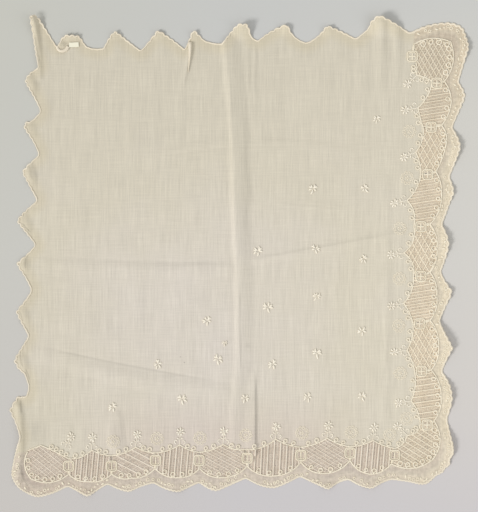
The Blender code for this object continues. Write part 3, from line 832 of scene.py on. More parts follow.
def clipped_runs(index, lean, offsets, clear=True, reach=90.0, step=1.0):
    """Straight runs within a cartouche, and clear of its medallions, as pairs of ends.

    Line i holds the points middle + run * a + across * offsets[i] for a from -reach to
    reach, where the middle is halfway from the cartouche's peak to its swell.
    """
    row = CARTOUCHES[index]
    middle = (inner_place(row) + outer_place(row)) / 2
    run = direction(lean)
    at = np.arange(-reach, reach, step)
    lines = middle + at[None, :, None] * run + offsets[:, None, None] * quarter_turn(run)
    places = lines.reshape(-1, 2)
    within = inside(places, cartouche_ring(index))
    for medallion in MEDALLIONS[index : index + 2] if clear else ():
        within &= ~inside(places, medallion_line(medallion))
    within = within.reshape(len(offsets), len(at))
    change = np.diff(np.pad(within, ((0, 0), (1, 1))).astype(int), axis=1)
    rows, starts = np.nonzero(change == 1)
    ends = np.nonzero(change == -1)[1]
    kept = ends > starts + SHORTEST_RUN
    runs = zip(rows[kept], starts[kept], ends[kept])
    return [(lines[row, start], lines[row, end - 1]) for row, start, end in runs]


def medallion_line(row):
    """The closed line of a medallion's cord, a square with round corners.

    A point is the centre + half the width * sign(c) * |c| ** 0.5, where c is the cosine and
    the sine of its angle.
    """
    half = bpy.context.scene.fichu_threads.medallion / MM
    wave = direction(np.arange(MEDALLION_POINTS) * 360 / MEDALLION_POINTS)
    return np.array([row.x, row.y]) + half * np.sign(wave) * np.abs(wave) ** 0.5


def straight(start, end, step):
    """Evenly spaced points from start to end, both included."""
    count = max(2, round(hypot(*(end - start)) / step) + 1)
    return start + (end - start) * np.linspace(0, 1, count)[:, None]


def arc(centre, radius, start, end, count):
    """Points centre + radius * (cos a, sin a) for angles from start to end, in degrees."""
    return np.array(centre) + radius * direction(np.linspace(start, end, count))


def strand(path, width, height, sides=6, closed=False, rise=0.0):
    """A thread or pad carried along a path, its foot on the cloth.

    Point (i, j) is path[i] + side[i] * width[i] / 2 * c[j], at the height of the cloth
    plus rise + height[i] / 2 * (1 + s[j]), where c and s are the cosine and the sine of
    (j + 1/2) / sides of a turn, each over its largest value.
    Returns its points, its four-sided faces and its length along the path at each point.
    """
    path = np.asarray(path, float)
    count = len(path)
    if closed:
        run = np.roll(path, -1, 0) - np.roll(path, 1, 0)
    else:
        run = np.gradient(path, axis=0)
    run /= np.maximum(np.hypot(*run.T), 1e-9)[:, None]
    across, upward = direction((np.arange(sides) + 0.5) * 360 / sides).T
    across, upward = across / across.max(), upward / upward.max()
    half_width = np.broadcast_to(np.asarray(width, float), count)[:, None] / 2
    half_height = np.broadcast_to(np.asarray(height, float), count)[:, None] / 2
    foot = surface_height(path) + rise
    flat = path[:, None, :] + quarter_turn(run)[:, None, :] * (half_width * across)[..., None]
    level = foot[:, None] + half_height * (1 + upward)
    points = np.concatenate([flat, level[..., None]], axis=2).reshape(-1, 3)
    along = np.repeat(distances_along(path), sides)
    rings = np.arange(count if closed else count - 1)[:, None]
    places = np.arange(sides)[None, :]
    ahead, after = (rings + 1) % count, (places + 1) % sides
    corners = [rings * sides + places, rings * sides + after, ahead * sides + after]
    faces = np.stack(corners + [ahead * sides + places], axis=-1).reshape(-1, 4)
    if not closed:
        pair = np.arange(sides // 2 - 1)
        cap = np.stack([pair, pair + 1, sides - 2 - pair, sides - 1 - pair], axis=-1)
        faces = np.vstack([faces, cap[:, ::-1], cap + (count - 1) * sides])
    return points, faces, along


def joined(strands):
    """Several strands as one set of points, faces and lengths along."""
    starts = np.cumsum([0] + [len(points) for points, _, _ in strands[:-1]])
    points = np.vstack([points for points, _, _ in strands])
    faces = np.vstack([faces + start for (_, faces, _), start in zip(strands, starts)])
    along = np.concatenate([along for _, _, along in strands])
    return points, faces, along


def added(name, data):
    """A new object with this data, linked into the scene."""
    made = bpy.data.objects.new(name, data)
    bpy.context.scene.collection.objects.link(made)
    return made


def mesh_piece(name, points, faces, material, along=None):
    """An object with these points, in table millimetres, and these four-sided faces."""
    mesh = bpy.data.meshes.new(name)
    places = np.array(points, float)
    places[:, :2] -= SQUARE_MIDDLE
    mesh.vertices.add(len(places))
    mesh.vertices.foreach_set("co", (places * MM).astype(np.float32).ravel())
    mesh.loops.add(faces.size)
    mesh.loops.foreach_set("vertex_index", faces.astype(np.int32).ravel())
    mesh.polygons.add(len(faces))
    mesh.polygons.foreach_set("loop_start", (np.arange(len(faces)) * 4).astype(np.int32))
    if along is not None:
        uv = np.zeros((faces.size, 2), np.float32)
        uv[:, 0] = along[faces.ravel()] * MM
        mesh.uv_layers.new(name="along").data.foreach_set("uv", uv.ravel())
    mesh.update(calc_edges=True)
    mesh.validate()
    mesh.shade_smooth()
    mesh.materials.append(material)
    return added(name, mesh)


def keep_at_points(piece, name, values):
    """Stores one number for each point of a piece, for its material to read."""
    layer = piece.data.attributes.new(name, "FLOAT", "POINT")
    layer.data.foreach_set("value", values.astype(np.float32))


def worked_piece(name, strands, thread, tone, **look):
    """A piece made of strands of one thread, riding on the cloth's one body."""
    points, faces, along = joined(strands)
    piece = mesh_piece(name, points, faces, thread_material(thread, tone, **look), along)
    # Painted light on the threads, read at the height of each point
    painted_light_y, painted_light_share = np.array(PAINTED_LIGHT_BY_HEIGHT, float).T
    keep_at_points(piece, "painted_light", np.interp(points[:, 1], painted_light_y, painted_light_share))
    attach(piece, "root")
    return piece


def add_node(tree, kind, inputs=None, **settings):
    """A new node with these settings. An input is a plain value or another node's socket."""
    node = tree.nodes.new(kind)
    for name, value in settings.items():
        setattr(node, name, value)
    for name, value in (inputs or {}).items():
        if isinstance(value, bpy.types.NodeSocket):
            tree.links.new(value, node.inputs[name])
        else:
            node.inputs[name].default_value = value
    return node


def new_material(name, roughness, sheen):
    """An empty cloth material and its tree, shader and Object coordinates."""
    material = bpy.data.materials.new(name)
    material.use_nodes = True
    tree = material.node_tree
    shader = tree.nodes["Principled BSDF"]
    shader.inputs["Roughness"].default_value = roughness
    shader.inputs["Specular IOR Level"].default_value = 0.25
    shader.inputs["Sheen Weight"].default_value = sheen
    shader.inputs["Sheen Roughness"].default_value = 0.5
    coords = add_node(tree, "ShaderNodeTexCoord")
    return material, tree, shader, coords.outputs["Object"]


def stretched_noise(tree, place, scale, detail=2.0):
    """Noise whose spots are drawn out: scale is how many of them fit a metre each way."""
    mapping = add_node(tree, "ShaderNodeMapping", {"Vector": place, "Scale": scale})
    settings = {"Vector": mapping.outputs["Vector"], "Scale": 1.0, "Detail": detail}
    return add_node(tree, "ShaderNodeTexNoise", settings).outputs["Fac"]


def ranged(tree, value, low, high, to_low, to_high):
    """A value moved from one range to another, and held within it."""
    names = {"Value": value, "From Min": low, "From Max": high, "To Min": to_low}
    names["To Max"] = to_high
    return add_node(tree, "ShaderNodeMapRange", names).outputs["Result"]


def sums(tree, operation, first, second=0.0):
    """One step of arithmetic on two values."""
    return add_node(tree, "ShaderNodeMath", {0: first, 1: second}, operation=operation).outputs[0]


def product(tree, first, *others):
    """Several values multiplied together."""
    for value in others:
        first = sums(tree, "MULTIPLY", first, value)
    return first


def opaque(tone):
    """A socket as it is, or three numbers as a colour that hides what is behind it."""
    return tone if isinstance(tone, bpy.types.NodeSocket) else (*tone, 1.0)


def mixed(tree, factor, first, second, blend="MIX"):
    """Two colours mixed by a factor. A colour is three numbers or a socket."""
    inputs = {0: factor, 6: opaque(first), 7: opaque(second)}
    return add_node(tree, "ShaderNodeMix", inputs, data_type="RGBA", blend_type=blend).outputs[2]


def tinted(tree, factor, tone, tint):
    """A colour that is multiplied by a tint where the factor is 1."""
    return mixed(tree, factor, tone, mixed(tree, 1.0, tone, tint, "MULTIPLY"))


def lit(tree, tone, light):
    """A colour multiplied by one share of light."""
    grey = add_node(tree, "ShaderNodeCombineColor", {"Red": light, "Green": light, "Blue": light})
    return mixed(tree, 1.0, tone, grey.outputs["Color"], "MULTIPLY")


def axes_of(tree, vector):
    """The X, Y and Z of a vector, which are read by name or number."""
    return add_node(tree, "ShaderNodeSeparateXYZ", {"Vector": vector}).outputs


def ramped(tree, axes, ramp):
    """The share that a ramp gives at each place."""
    return ranged(tree, axes[ramp.axis], ramp.start, ramp.end, ramp.at_start, ramp.at_end)


def kept_value(tree, name):
    """The number that a piece's points store under this name."""
    return add_node(tree, "ShaderNodeAttribute", attribute_name=name).outputs["Fac"]


def distance_from(tree, place, spot):
    """How far each place is from a spot, in metres."""
    inputs = {0: place, 1: spot}
    return add_node(tree, "ShaderNodeVectorMath", inputs, operation="DISTANCE").outputs["Value"]


def bumped(tree, height, strength, distance, under=None):
    """The surface's normal where a height is added to it, on top of another bump's normal
    if that is given."""
    inputs = {"Height": height, "Strength": strength, "Distance": distance}
    if under is not None:
        inputs["Normal"] = under
    return add_node(tree, "ShaderNodeBump", inputs).outputs["Normal"]


def crease_marks(tree, axes):
    """The height of the fine creases, in metres, and the share of light they leave.

    A crease lies where its other axis equals the parabola a + u * (b + c * u) of its long
    axis u. Both marks fall off smoothly over its reach and towards its two ends.
    """
    height, light = 0.0, 1.0
    for row in CREASES:
        points = np.array([(row.start_x, row.start_y), (row.mid_x, row.mid_y), (row.end_x, row.end_y)])
        points = (points - SQUARE_MIDDLE) * MM
        long = int(abs(points[2] - points[0]).argmax())
        middle = points[[0, 2], long].mean()
        c, b, a = np.polyfit(points[:, long] - middle, points[:, 1 - long], 2)
        u = sums(tree, "SUBTRACT", axes[long], middle)
        slope = sums(tree, "ADD", product(tree, u, c), b)
        line = sums(tree, "ADD", product(tree, u, slope), a)
        away = sums(tree, "ABSOLUTE", sums(tree, "SUBTRACT", axes[1 - long], line))
        near = ranged(tree, away, 0, row.reach * MM, 1, 0)
        half = abs(points[2, long] - points[0, long]) / 2
        fade = ranged(tree, sums(tree, "ABSOLUTE", u), half * CREASE_FADE, half, 1, 0)
        mark = product(tree, near, fade)
        height = sums(tree, "ADD", product(tree, mark, row.height * MM), height)
        light = product(tree, light, sums(tree, "SUBTRACT", 1.0, product(tree, mark, row.shade)))
    return height, light


def dark_spot_light(tree, place):
    """The share of light that the stains and darker patches leave, from each one's distance."""
    flatten = {0: place, 1: (1.0, 1.0, 0.0)}
    flat = add_node(tree, "ShaderNodeVectorMath", flatten, operation="MULTIPLY").outputs[0]
    light = 1.0
    for row in DARK_SPOTS:
        middle = (*((np.array([row.x, row.y]) - SQUARE_MIDDLE) * MM), 0.0)
        away = distance_from(tree, flat, middle)
        light = product(tree, ranged(tree, away, 0, row.reach * MM, 1 - row.depth, 1), light)
    return light


def uneven_threads(tree, place, axes):
    """How much lighter or darker the threads make each place: the noises times their
    weights, less half the sum of the weights."""
    level_weight = ramped(tree, axes, LEVEL_WEIGHT)
    total = product(tree, stretched_noise(tree, place, LEVEL_THREADS), level_weight)
    for scale, weight in UNEVEN_THREADS:
        part = product(tree, stretched_noise(tree, place, scale), weight)
        total = sums(tree, "ADD", total, part)
    weights = sums(tree, "ADD", level_weight, sum(weight for _, weight in UNEVEN_THREADS))
    return sums(tree, "SUBTRACT", total, product(tree, weights, 0.5))


def ground_tone(tree, place, axes):
    """The plain muslin's tone, yellowed in clouds, towards the top and away from the part
    that aged least, and tinted at the hem and in the middle of the low part."""
    colours = bpy.context.scene.fichu_colours
    aged = ranged(tree, distance_from(tree, place, FRESH_MIDDLE), 0.05, 0.3, 0, 0.75)
    cloud = stretched_noise(tree, place, AGE_CLOUDS, 4.0)
    for part in (ranged(tree, cloud, 0.35, 0.65, 0, 0.35), ramped(tree, axes, AGED_TOP)):
        aged = sums(tree, "ADD", aged, part)
    tone = mixed(tree, ranged(tree, aged, 0, 1, 0, 1), colours.muslin, colours.muslin_aged)
    tone = tinted(tree, kept_value(tree, "hem"), tone, HEM_TINT)
    off_middle = sums(tree, "ABSOLUTE", sums(tree, "ADD", axes["X"], 0.02))
    low = product(tree, ramped(tree, axes, LOW_PART), ranged(tree, off_middle, 0.14, 0.27, 1, 0))
    return tinted(tree, low, tone, LOW_TINT)


def band_tones(tree, axes):
    """The tones of the strip and of the rim, tinted at the bottom and at the two far ends,
    where the absolute value of X + Y is large."""
    colours = bpy.context.scene.fichu_colours
    bottom = product(tree, ramped(tree, axes, BOTTOM_PART), ramped(tree, axes, BOTTOM_FADE))
    along = sums(tree, "ABSOLUTE", sums(tree, "ADD", axes["X"], axes["Y"]))
    ends = product(tree, ranged(tree, along, 0.56, 0.70, 0, 1), ramped(tree, axes, RIGHT_OF_RIM))
    tones = []
    for tone in (colours.strip, colours.rim):
        tone = mixed(tree, bottom, tone, np.array(tone) * BOTTOM_TINT)
        tones.append(tinted(tree, ends, tone, ENDS_TINT))
    return tones


def muslin_material():
    """Sheer muslin: uneven threads both ways, cloudy ageing, creases, stains and darker patches, and a
    netted band whose outer rim is closely worked."""
    cloth = bpy.context.scene.fichu_cloth
    material, tree, shader, place = new_material("fichu_muslin_sheer", roughness=0.9, sheen=0.15)
    axes = axes_of(tree, place)
    streak = uneven_threads(tree, place, axes)
    band, rim = kept_value(tree, "band"), kept_value(tree, "rim")
    netted = sums(tree, "SUBTRACT", band, rim)
    strip_tone, rim_tone = band_tones(tree, axes)
    strip_share = ranged(tree, netted, 0, 1, 0, 1)
    tone = mixed(tree, strip_share, ground_tone(tree, place, axes), strip_tone)
    tone = mixed(tree, rim, tone, rim_tone)
    crease_rise, crease_light = crease_marks(tree, axes)
    speckle = ranged(tree, stretched_noise(tree, place, SPECKLES), 0.3, 0.7, -0.12, 0.12)
    light = product(
        tree,
        ranged(tree, streak, -0.2, 0.2, 0.91, 1.09),
        ramped(tree, axes, TOP_LIGHT),
        dark_spot_light(tree, place),
        sums(tree, "ADD", product(tree, speckle, band), 1.0),
        crease_light,
    )
    tree.links.new(lit(tree, tone, light), shader.inputs["Base Color"])
    solid = ranged(tree, netted, 0, 1, cloth.solidity, cloth.band_solidity)
    alpha = sums(tree, "ADD", solid, product(tree, streak, 0.25))
    held = add_node(tree, "ShaderNodeClamp", {"Value": alpha})
    tree.links.new(held.outputs[0], shader.inputs["Alpha"])
    weave = bumped(tree, streak, 0.3, 0.0004)
    tree.links.new(bumped(tree, crease_rise, 1.0, 1.0, weave), shader.inputs["Normal"])
    return material


def thread_material(name, tone, stitch=1.4, worn=False):
    """Cotton thread: a cloudy tone, and stitches that repeat along the strand as a sine of
    the distance along it.

    Thread lit by height is multiplied by the painted light at its height, and is cooler along the
    bottom.
    """
    material, tree, shader, place = new_material(name, roughness=0.75, sheen=0.2)
    dark = np.array(tone) * THREAD_DARK_TONE_AND_GROOVE_SHADE
    along = add_node(tree, "ShaderNodeUVMap", uv_map="along").outputs["UV"]
    turns = product(tree, axes_of(tree, along)["X"], 2 * pi / (stitch * MM))
    tuft = ranged(tree, sums(tree, "SINE", turns), -1, 1, 0, 1)
    cloud = stretched_noise(tree, place, (60.0, 60.0, 60.0), 3.0)
    cloudy = product(tree, ranged(tree, cloud, 0.3, 0.7, 0, 1), 0.6)
    # Painted shade in the grooves between stitches, where the tone goes up to a quarter of the way to
    # the darker one
    groove_shade = ranged(tree, tuft, 0, 0.5, 0.25, 0)
    shown = mixed(tree, groove_shade, mixed(tree, cloudy, tone, dark), dark)
    if worn:
        # Painted light by height, and a cooler tint along the bottom
        cool = ramped(tree, axes_of(tree, place), COOL_PART)
        tint = lit(tree, mixed(tree, cool, UNTINTED, COOL_BOTTOM), kept_value(tree, "painted_light"))
        shown = mixed(tree, 1.0, shown, tint, "MULTIPLY")
    tree.links.new(shown, shader.inputs["Base Color"])
    tree.links.new(bumped(tree, tuft, 0.3, 0.0003), shader.inputs["Normal"])
    return material


def fading(distance, reaches):
    """1 up to the nearer reach, falling evenly to 0 at the farther one."""
    near, far = reaches
    return np.clip((far - distance) / (far - near), 0, 1)


def edge_shares(places, outline, band, batch=2000):
    """The share of the rim, which is on the netted band, and of the hem, which is inside
    the plain edges, at each place. Each fades with the distance from the edge."""
    rim, hem = np.zeros(len(places)), np.zeros(len(places))
    closed = np.vstack([outline, outline[:1]])
    chosen = np.flatnonzero((np.abs(places) > EDGE_ZONE).any(axis=1))
    for some in np.array_split(chosen, max(1, len(chosen) // batch)):
        distance = nearest_place(places[some], closed)[1]
        rim[some] = fading(distance, RIM_FADE) * band[some]
        hem[some] = fading(distance, HEM_FADE) * (1 - band[some])
    return rim, hem


def grid_faces(columns, rows):
    """The four-sided faces of a grid whose points are numbered row by row."""
    number = np.arange(rows * columns).reshape(rows, columns)
    corners = [number[:-1, :-1], number[:-1, 1:], number[1:, 1:], number[1:, :-1]]
    return np.stack(corners, axis=-1).reshape(-1, 4)


def sheet_grid(outline, rings, step):
    """The muslin as a grid trimmed to the outline, with the cartouches left open.

    Point (i, j) is the low corner + step * (i, j). A face is kept where its middle lies
    within the outline and in no ring, and a point on the rim of what is kept moves to the
    nearest place on those lines.
    """
    low, high = outline.min(axis=0) - step, outline.max(axis=0) + step
    columns, rows = (np.ceil((high - low) / step) + 1).astype(int)
    x, y = np.meshgrid(low[0] + step * np.arange(columns), low[1] + step * np.arange(rows))
    grid = np.column_stack([x.ravel(), y.ravel()])
    faces = grid_faces(columns, rows)
    middles = grid[faces].mean(axis=1)
    kept = inside(middles, outline)
    for ring in rings:
        kept &= ~inside(middles, ring)
    faces = faces[kept]
    uses = np.bincount(faces.ravel(), minlength=len(grid))
    rim = (uses > 0) & (uses < 4)
    places, distance = grid[rim].copy(), np.full(rim.sum(), np.inf)
    for line in [outline] + rings:
        found, away, _, _ = nearest_place(grid[rim], np.vstack([line, line[:1]]))
        closer = away < distance
        places[closer], distance[closer] = found[closer], away[closer]
    grid[rim] = places
    used = np.flatnonzero(uses)
    renumber = np.zeros(len(grid), int)
    renumber[used] = np.arange(len(used))
    return grid[used], renumber[faces]


def outer_band():
    """A closed line round all that lies beyond the outer cords, out past the edge."""
    cords = [cartouche_cords(index)[1] for index in range(len(CARTOUCHES))]
    return np.vstack(cords + [FAR_CORNERS])


def build_ground():
    """The muslin sheet with its folds, scalloped edge and open cartouches."""
    cloth = bpy.context.scene.fichu_cloth
    outline = edge_line()[::2]
    rings = [cartouche_ring(index) for index in range(len(CARTOUCHES))]
    places, faces = sheet_grid(outline, rings, cloth.grid / MM)
    points = np.column_stack([places, surface_height(places)])
    ground = mesh_piece("muslin_ground", points, faces, muslin_material())
    band = inside(places, outer_band()).astype(float)
    rim, hem = edge_shares(places, outline, band)
    for name, shares in (("band", band), ("rim", rim), ("hem", hem)):
        keep_at_points(ground, name, shares)
    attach(ground, "root")
    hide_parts("fichu_cloth")
    return ground


def bar_lean(index):
    """The lean of the one thread set of a barred cartouche."""
    return next(row.lean for row in THREAD_SETS if row.cartouche == index)


def straight_strands(index, lean, offsets, step, width, height, clear=True, **shape):
    """A cartouche's threads of one set: strands on the runs that the cartouche clips."""
    runs = clipped_runs(index, lean, offsets, clear)
    return [strand(straight(start, end, step), width, height, **shape) for start, end in runs]


def build_net():
    """The fine net in the cartouches: two crossing sets of unevenly spaced threads."""
    threads, colours = thread_settings()
    random = np.random.default_rng(threads.seed)
    pitch, width = threads.net_pitch / MM, threads.net_thread / MM
    strands = []
    for index, row in enumerate(CARTOUCHES):
        lean = 0 if row.filling == "lattice" else bar_lean(index)
        for turn in (0, 90):
            offsets = np.arange(-NET_REACH, NET_REACH, pitch)
            drift = random.uniform(-NET_UNEVENNESS, NET_UNEVENNESS, len(offsets))
            strands += straight_strands(
                index, lean + turn, offsets + drift * pitch, step=5.0,
                width=width, height=0.35, clear=False, sides=4, rise=-0.2,
            )
    return worked_piece("net_ground", strands, "net_thread", colours.net, worn=True)


def filling_strands(filling, fullness, step):
    """The strands of every thread set in the cartouches with this filling.

    Thread i of a set lies (i + phase) * pitch from the cartouche's middle, and the finer
    thread after it half a pitch further.
    """
    strands = []
    for row in THREAD_SETS:
        if CARTOUCHES[row.cartouche].filling != filling:
            continue
        offsets = (np.arange(-THREADS_EACH_WAY, THREADS_EACH_WAY + 1) + row.phase) * row.pitch
        strands += straight_strands(
            row.cartouche, row.lean, offsets, step, row.width * fullness, row.height, rise=0.1
        )
        if row.between:
            strands += straight_strands(
                row.cartouche, row.lean, offsets + row.pitch / 2, step,
                width=row.between * fullness, height=0.4, sides=4, rise=0.1,
            )
    return strands


def build_fillings():
    """The crossing threads of the latticed cartouches and the worked bars of the others."""
    threads, colours = thread_settings()
    lattice = filling_strands("lattice", threads.lattice_thread, 4.0)
    worked_piece("lattice_threads", lattice, "lattice_thread", colours.lattice, worn=True)
    bars = filling_strands("bars", threads.bar_thread, 2.0)
    worked_piece("bar_threads", bars, "bar_thread", colours.lattice, stitch=1.8, worn=True)


def build_cords():
    """The cords round the cartouches."""
    threads, colours = thread_settings()
    strands = []
    for index in range(len(CARTOUCHES)):
        for line in cartouche_cords(index):
            path = evenly_spaced(line, 1.0, closed=False)
            strands.append(strand(path, threads.cord_thread / MM, height=1.3, rise=-0.1))
    return worked_piece("cartouche_cords", strands, "cord_thread", colours.cord)


def curl_path(centre, root, radius):
    """A ring that opens into a tail ending on the cord.

    The angle runs back from the root's by a little over a turn; the distance from the
    centre is the radius, and grows to the root's over the last quarter.
    """
    away = np.asarray(root, float) - centre
    place = np.linspace(0, 1, 22)
    open_share = np.clip((place - 0.75) / 0.25, 0, 1) ** 1.5
    reach = radius + (hypot(*away) - radius) * open_share
    return centre + reach[:, None] * direction(heading(away) - CURL_TURN * (1 - place))


def places_along(line, distances):
    """The points and left-hand directions at these distances along an open line."""
    along = distances_along(line)
    run = np.gradient(line, axis=0)
    run /= np.hypot(*run.T)[:, None]
    places = read_between(distances, along, line)
    return places, quarter_turn(read_between(distances, along, run))


def peak_distance(index, inner):
    """How far along its inner cord a cartouche's peak is."""
    gap = inner - inner_place(CARTOUCHES[index])
    return distances_along(inner)[np.hypot(*gap.T).argmin()]


def build_curls():
    """The ring curls: four or more within each outer cord, two each side of each peak and
    four before the last one.

    A curl's middle is its root on the cord less the cord's left-hand direction times the
    curl distance and the curl's scale.
    """
    threads, colours = thread_settings()
    random = np.random.default_rng(threads.seed + 3)
    radius, width = threads.curl_radius / MM, threads.curl_thread / MM
    reach = threads.curl_distance / MM
    last = len(CARTOUCHES) - 1
    strands = []
    for index in range(len(CARTOUCHES)):
        inner, outer = cartouche_cords(index)
        total = distances_along(outer)[-1]
        count = round((total - 2 * CURL_MARGIN) / CURL_SPACING) + 1
        outer_marks = np.linspace(CURL_MARGIN, total - CURL_MARGIN, count)
        if FIRST_AT_BOTTOM <= index < last:
            outer_marks = total * BOTTOM_CURLS
        peak = peak_distance(index, inner)
        rest = distances_along(inner)[-1] - peak
        inner_marks = np.append(peak * CURLS_BEFORE_PEAK, peak + rest * CURLS_PAST_PEAK)
        if index == last:
            inner_marks = peak * CURLS_BEFORE_LAST_PEAK
        grown = CORNER_CURL if index in CORNERS else OUTER_CURL
        sides = ((outer, outer_marks, grown, 1.6), (inner, inner_marks, 1.0, 1.3))
        for cord, marks, scale, height in sides:
            roots, left = places_along(cord, marks)
            for root, centre in zip(roots, roots - left * reach * scale):
                size = radius * scale * random.uniform(*CURL_SIZES)
                strands.append(strand(curl_path(centre, root, size), width, height, rise=0.1))
    return worked_piece("ring_curls", strands, "curl_thread", colours.cord)


def build_medallions():
    """The rounded squares between the cartouches: two frames round a cross, or round one
    upright thread at the bottom, and a padded end towards the outer cords."""
    threads, colours = thread_settings()
    half = threads.medallion / MM
    strands = []
    for index, row in enumerate(MEDALLIONS[:-1]):
        centre = np.array([row.x, row.y], float)
        cord = medallion_line(row)
        inner_frame = centre + (cord - centre) * INNER_FRAME
        strands.append(strand(cord, width=2.2, height=1.5, closed=True))
        strands.append(strand(inner_frame, width=1.5, height=0.6, closed=True))
        at_bottom = index >= FIRST_AT_BOTTOM
        for turn in (90,) if at_bottom else (0, 90):
            arm = direction(turn) * half * ARM_REACH
            path = straight(centre - arm, centre + arm, 2.0)
            strands.append(strand(path, width=2.1 if at_bottom else 2.5, height=0.7))
        joint = outer_place(row) - centre
        strands.append(leaf(centre, heading(joint), 8.5, hypot(*joint), bow=0, width=4.5, height=0.7))
    return worked_piece("medallions", strands, "medallion_thread", colours.mark)


def bulge(line, window=61):
    """How far each point of a closed line lies outside the line's running mean."""
    reach = window // 2
    padded = np.vstack([line[-reach:], line, line[:reach]])
    kernel = np.ones(window) / window
    mean = np.column_stack([np.convolve(padded[:, axis], kernel, "valid") for axis in (0, 1)])
    left = left_of(line)
    return ((line - mean) * left).sum(axis=1)


def left_of(line):
    """The unit direction to the left of a closed line at each of its points."""
    run = np.roll(line, -1, 0) - np.roll(line, 1, 0)
    return quarter_turn(run) / np.hypot(*run.T)[:, None]


def edge_line():
    """The outline with small round waves, deeper on the tips and finer at the bottom.

    A point moves outwards by depth * (|sin(pi * travelled / stitch + drift)| - 0.6), where
    the drift is the sum of two slow sines of the distance travelled, and then inwards by
    the inset, which fades out towards the right.
    """
    threads = bpy.context.scene.fichu_threads
    step = 1.0
    line = evenly_spaced(cloth_outline(), step)
    travelled = np.arange(len(line)) * step
    bottom = np.where(line[:, 1] < BORDER_TOP, BOTTOM_WAVE, 1.0)
    stitch = threads.edge_stitch / MM * bottom
    depth = threads.edge_wave / MM * bottom * np.clip(0.55 + bulge(line) / 7, 0.15, 1.0)
    drift = 1.1 * np.sin(travelled / 43) + 0.6 * np.sin(travelled / 17)
    wave = depth * (np.abs(np.sin(pi * travelled / stitch + drift)) - 0.6)
    wave -= np.clip((350 - line[:, 0]) / 50, 0, 1) * EDGE_INSET
    return line + left_of(line) * wave[:, None]


def build_edge():
    """The buttonholed edge all round the cloth, and the narrow turned pieces.

    The edge's width is 0.85 to 1.15 of its own, as a slow sine, and three quarters of that
    away from the border. A turned piece tapers evenly along its line.
    """
    threads, colours = thread_settings()
    line = edge_line()
    at_bottom = line[:, 1] < BORDER_TOP
    worked = (line[:, 0] > BORDER_LEFT) | at_bottom
    width = threads.edge_thread / MM * np.where(worked, 1.0, 0.75)
    width = width * (0.85 + 0.3 * np.abs(np.sin(np.arange(len(line)) / 23)))
    height = np.where(at_bottom, 0.8, 1.3)
    strands = [strand(line[::-1], width[::-1], height[::-1], closed=True, rise=-0.4)]
    for row in TURNED:
        path = evenly_spaced(np.array(row.line, float), 1.5, closed=False)
        taper = np.linspace(row.width, row.end_width, len(path))
        strands.append(strand(path, taper, row.height, rise=0.3))
    return worked_piece("scalloped_edge", strands, "edge_thread", colours.edge)


def leaf(centre, angle, inner, outer, bow, width, height=1.0):
    """A satin leaf: a strand from the inner to the outer reach, whose width and height
    follow the square root of the sine of the place along it."""
    way = direction(angle)
    place = np.linspace(0, 1, 8)[:, None]
    reach = outer - inner
    swing = quarter_turn(way) * reach * bow * 4 * place * (1 - place)
    path = centre + way * (inner + reach * place) + swing
    full = 0.25 + 0.75 * np.sqrt(np.sin(pi * place[:, 0]))
    return strand(path, width * full, height * 1.4 * full, rise=0.1)


def round_strand(centre, radius, width, height, count=10, sides=4):
    """A closed strand through this many points of a circle."""
    path = arc(centre, radius, 0, 360 - 360 / count, count)
    return strand(path, width, height, sides=sides, closed=True)


def build_sprigs():
    """The small flowers scattered over the ground.

    A leaf's angle is 90 + mirrored * (its own angle - 90) + the sprig's turn + a swing.
    """
    threads, colours = thread_settings()
    random = np.random.default_rng(threads.seed)
    width = threads.leaf_width / MM
    strands = []
    for row in SPRIGS:
        centre = np.array([row.x, row.y], float)
        for part in SPRIG_LEAVES:
            swing = random.uniform(-LEAF_SWING, LEAF_SWING)
            angle = 90 + row.mirrored * (part.angle - 90) + row.turn + swing
            inner = part.inner * row.size
            outer = part.outer * (row.size * random.uniform(*SPRIG_LENGTHS))
            bow = part.bow * row.mirrored
            strands.append(leaf(centre, angle, inner, outer, bow, width * row.size))
    return worked_piece("scattered_sprigs", strands, "satin_thread", colours.satin)


def build_border_flowers():
    """A flower on a stem at each cartouche's peak, with a bud and a hook at each side.

    Petal i points along the stem's angle + i * the petals' turn + a swing.
    """
    threads, colours = thread_settings()
    random = np.random.default_rng(threads.seed + 1)
    width = threads.leaf_width / MM
    strands = []
    for index, row in enumerate(CARTOUCHES):
        foot, way = inner_place(row), inward(index)
        if index == len(CARTOUCHES) - 1:
            foot, way = np.array(LAST_FLOWER_FOOT), np.array(LAST_FLOWER_WAY)
        lean = heading(way)
        centre = foot + way * STEM
        strands.append(strand(straight(foot, centre - way * 3, 2.0), width=1.3, height=0.9))
        strands.append(round_strand(centre, HEART_RADIUS, width=1.5, height=1.0))
        swings = random.uniform(-LEAF_SWING, LEAF_SWING, PETALS)
        for turn in np.arange(PETALS) * PETAL_TURN + lean + swings:
            end, bow = random.uniform(*PETAL_END), random.uniform(-PETAL_BOW, PETAL_BOW)
            strands.append(leaf(centre, turn, PETAL_START, end, bow, width))
        up, beside = HOOK_PLACE
        for side in (-1, 1):
            bud = foot + way * BUD_PLACE
            strands.append(leaf(bud, lean + side * BUD_LEAN, 1.5, 6.0, bow=0.1, width=2.0))
            middle = foot + way * up + side * beside * quarter_turn(way)
            first, last = (lean + side * turn for turn in HOOK_TURN)
            hook = arc(middle, HOOK_RADIUS, first, last, 12)
            strands.append(strand(hook, width=1.5, height=0.9))
    return worked_piece("border_flowers", strands, "flower_thread", colours.satin)


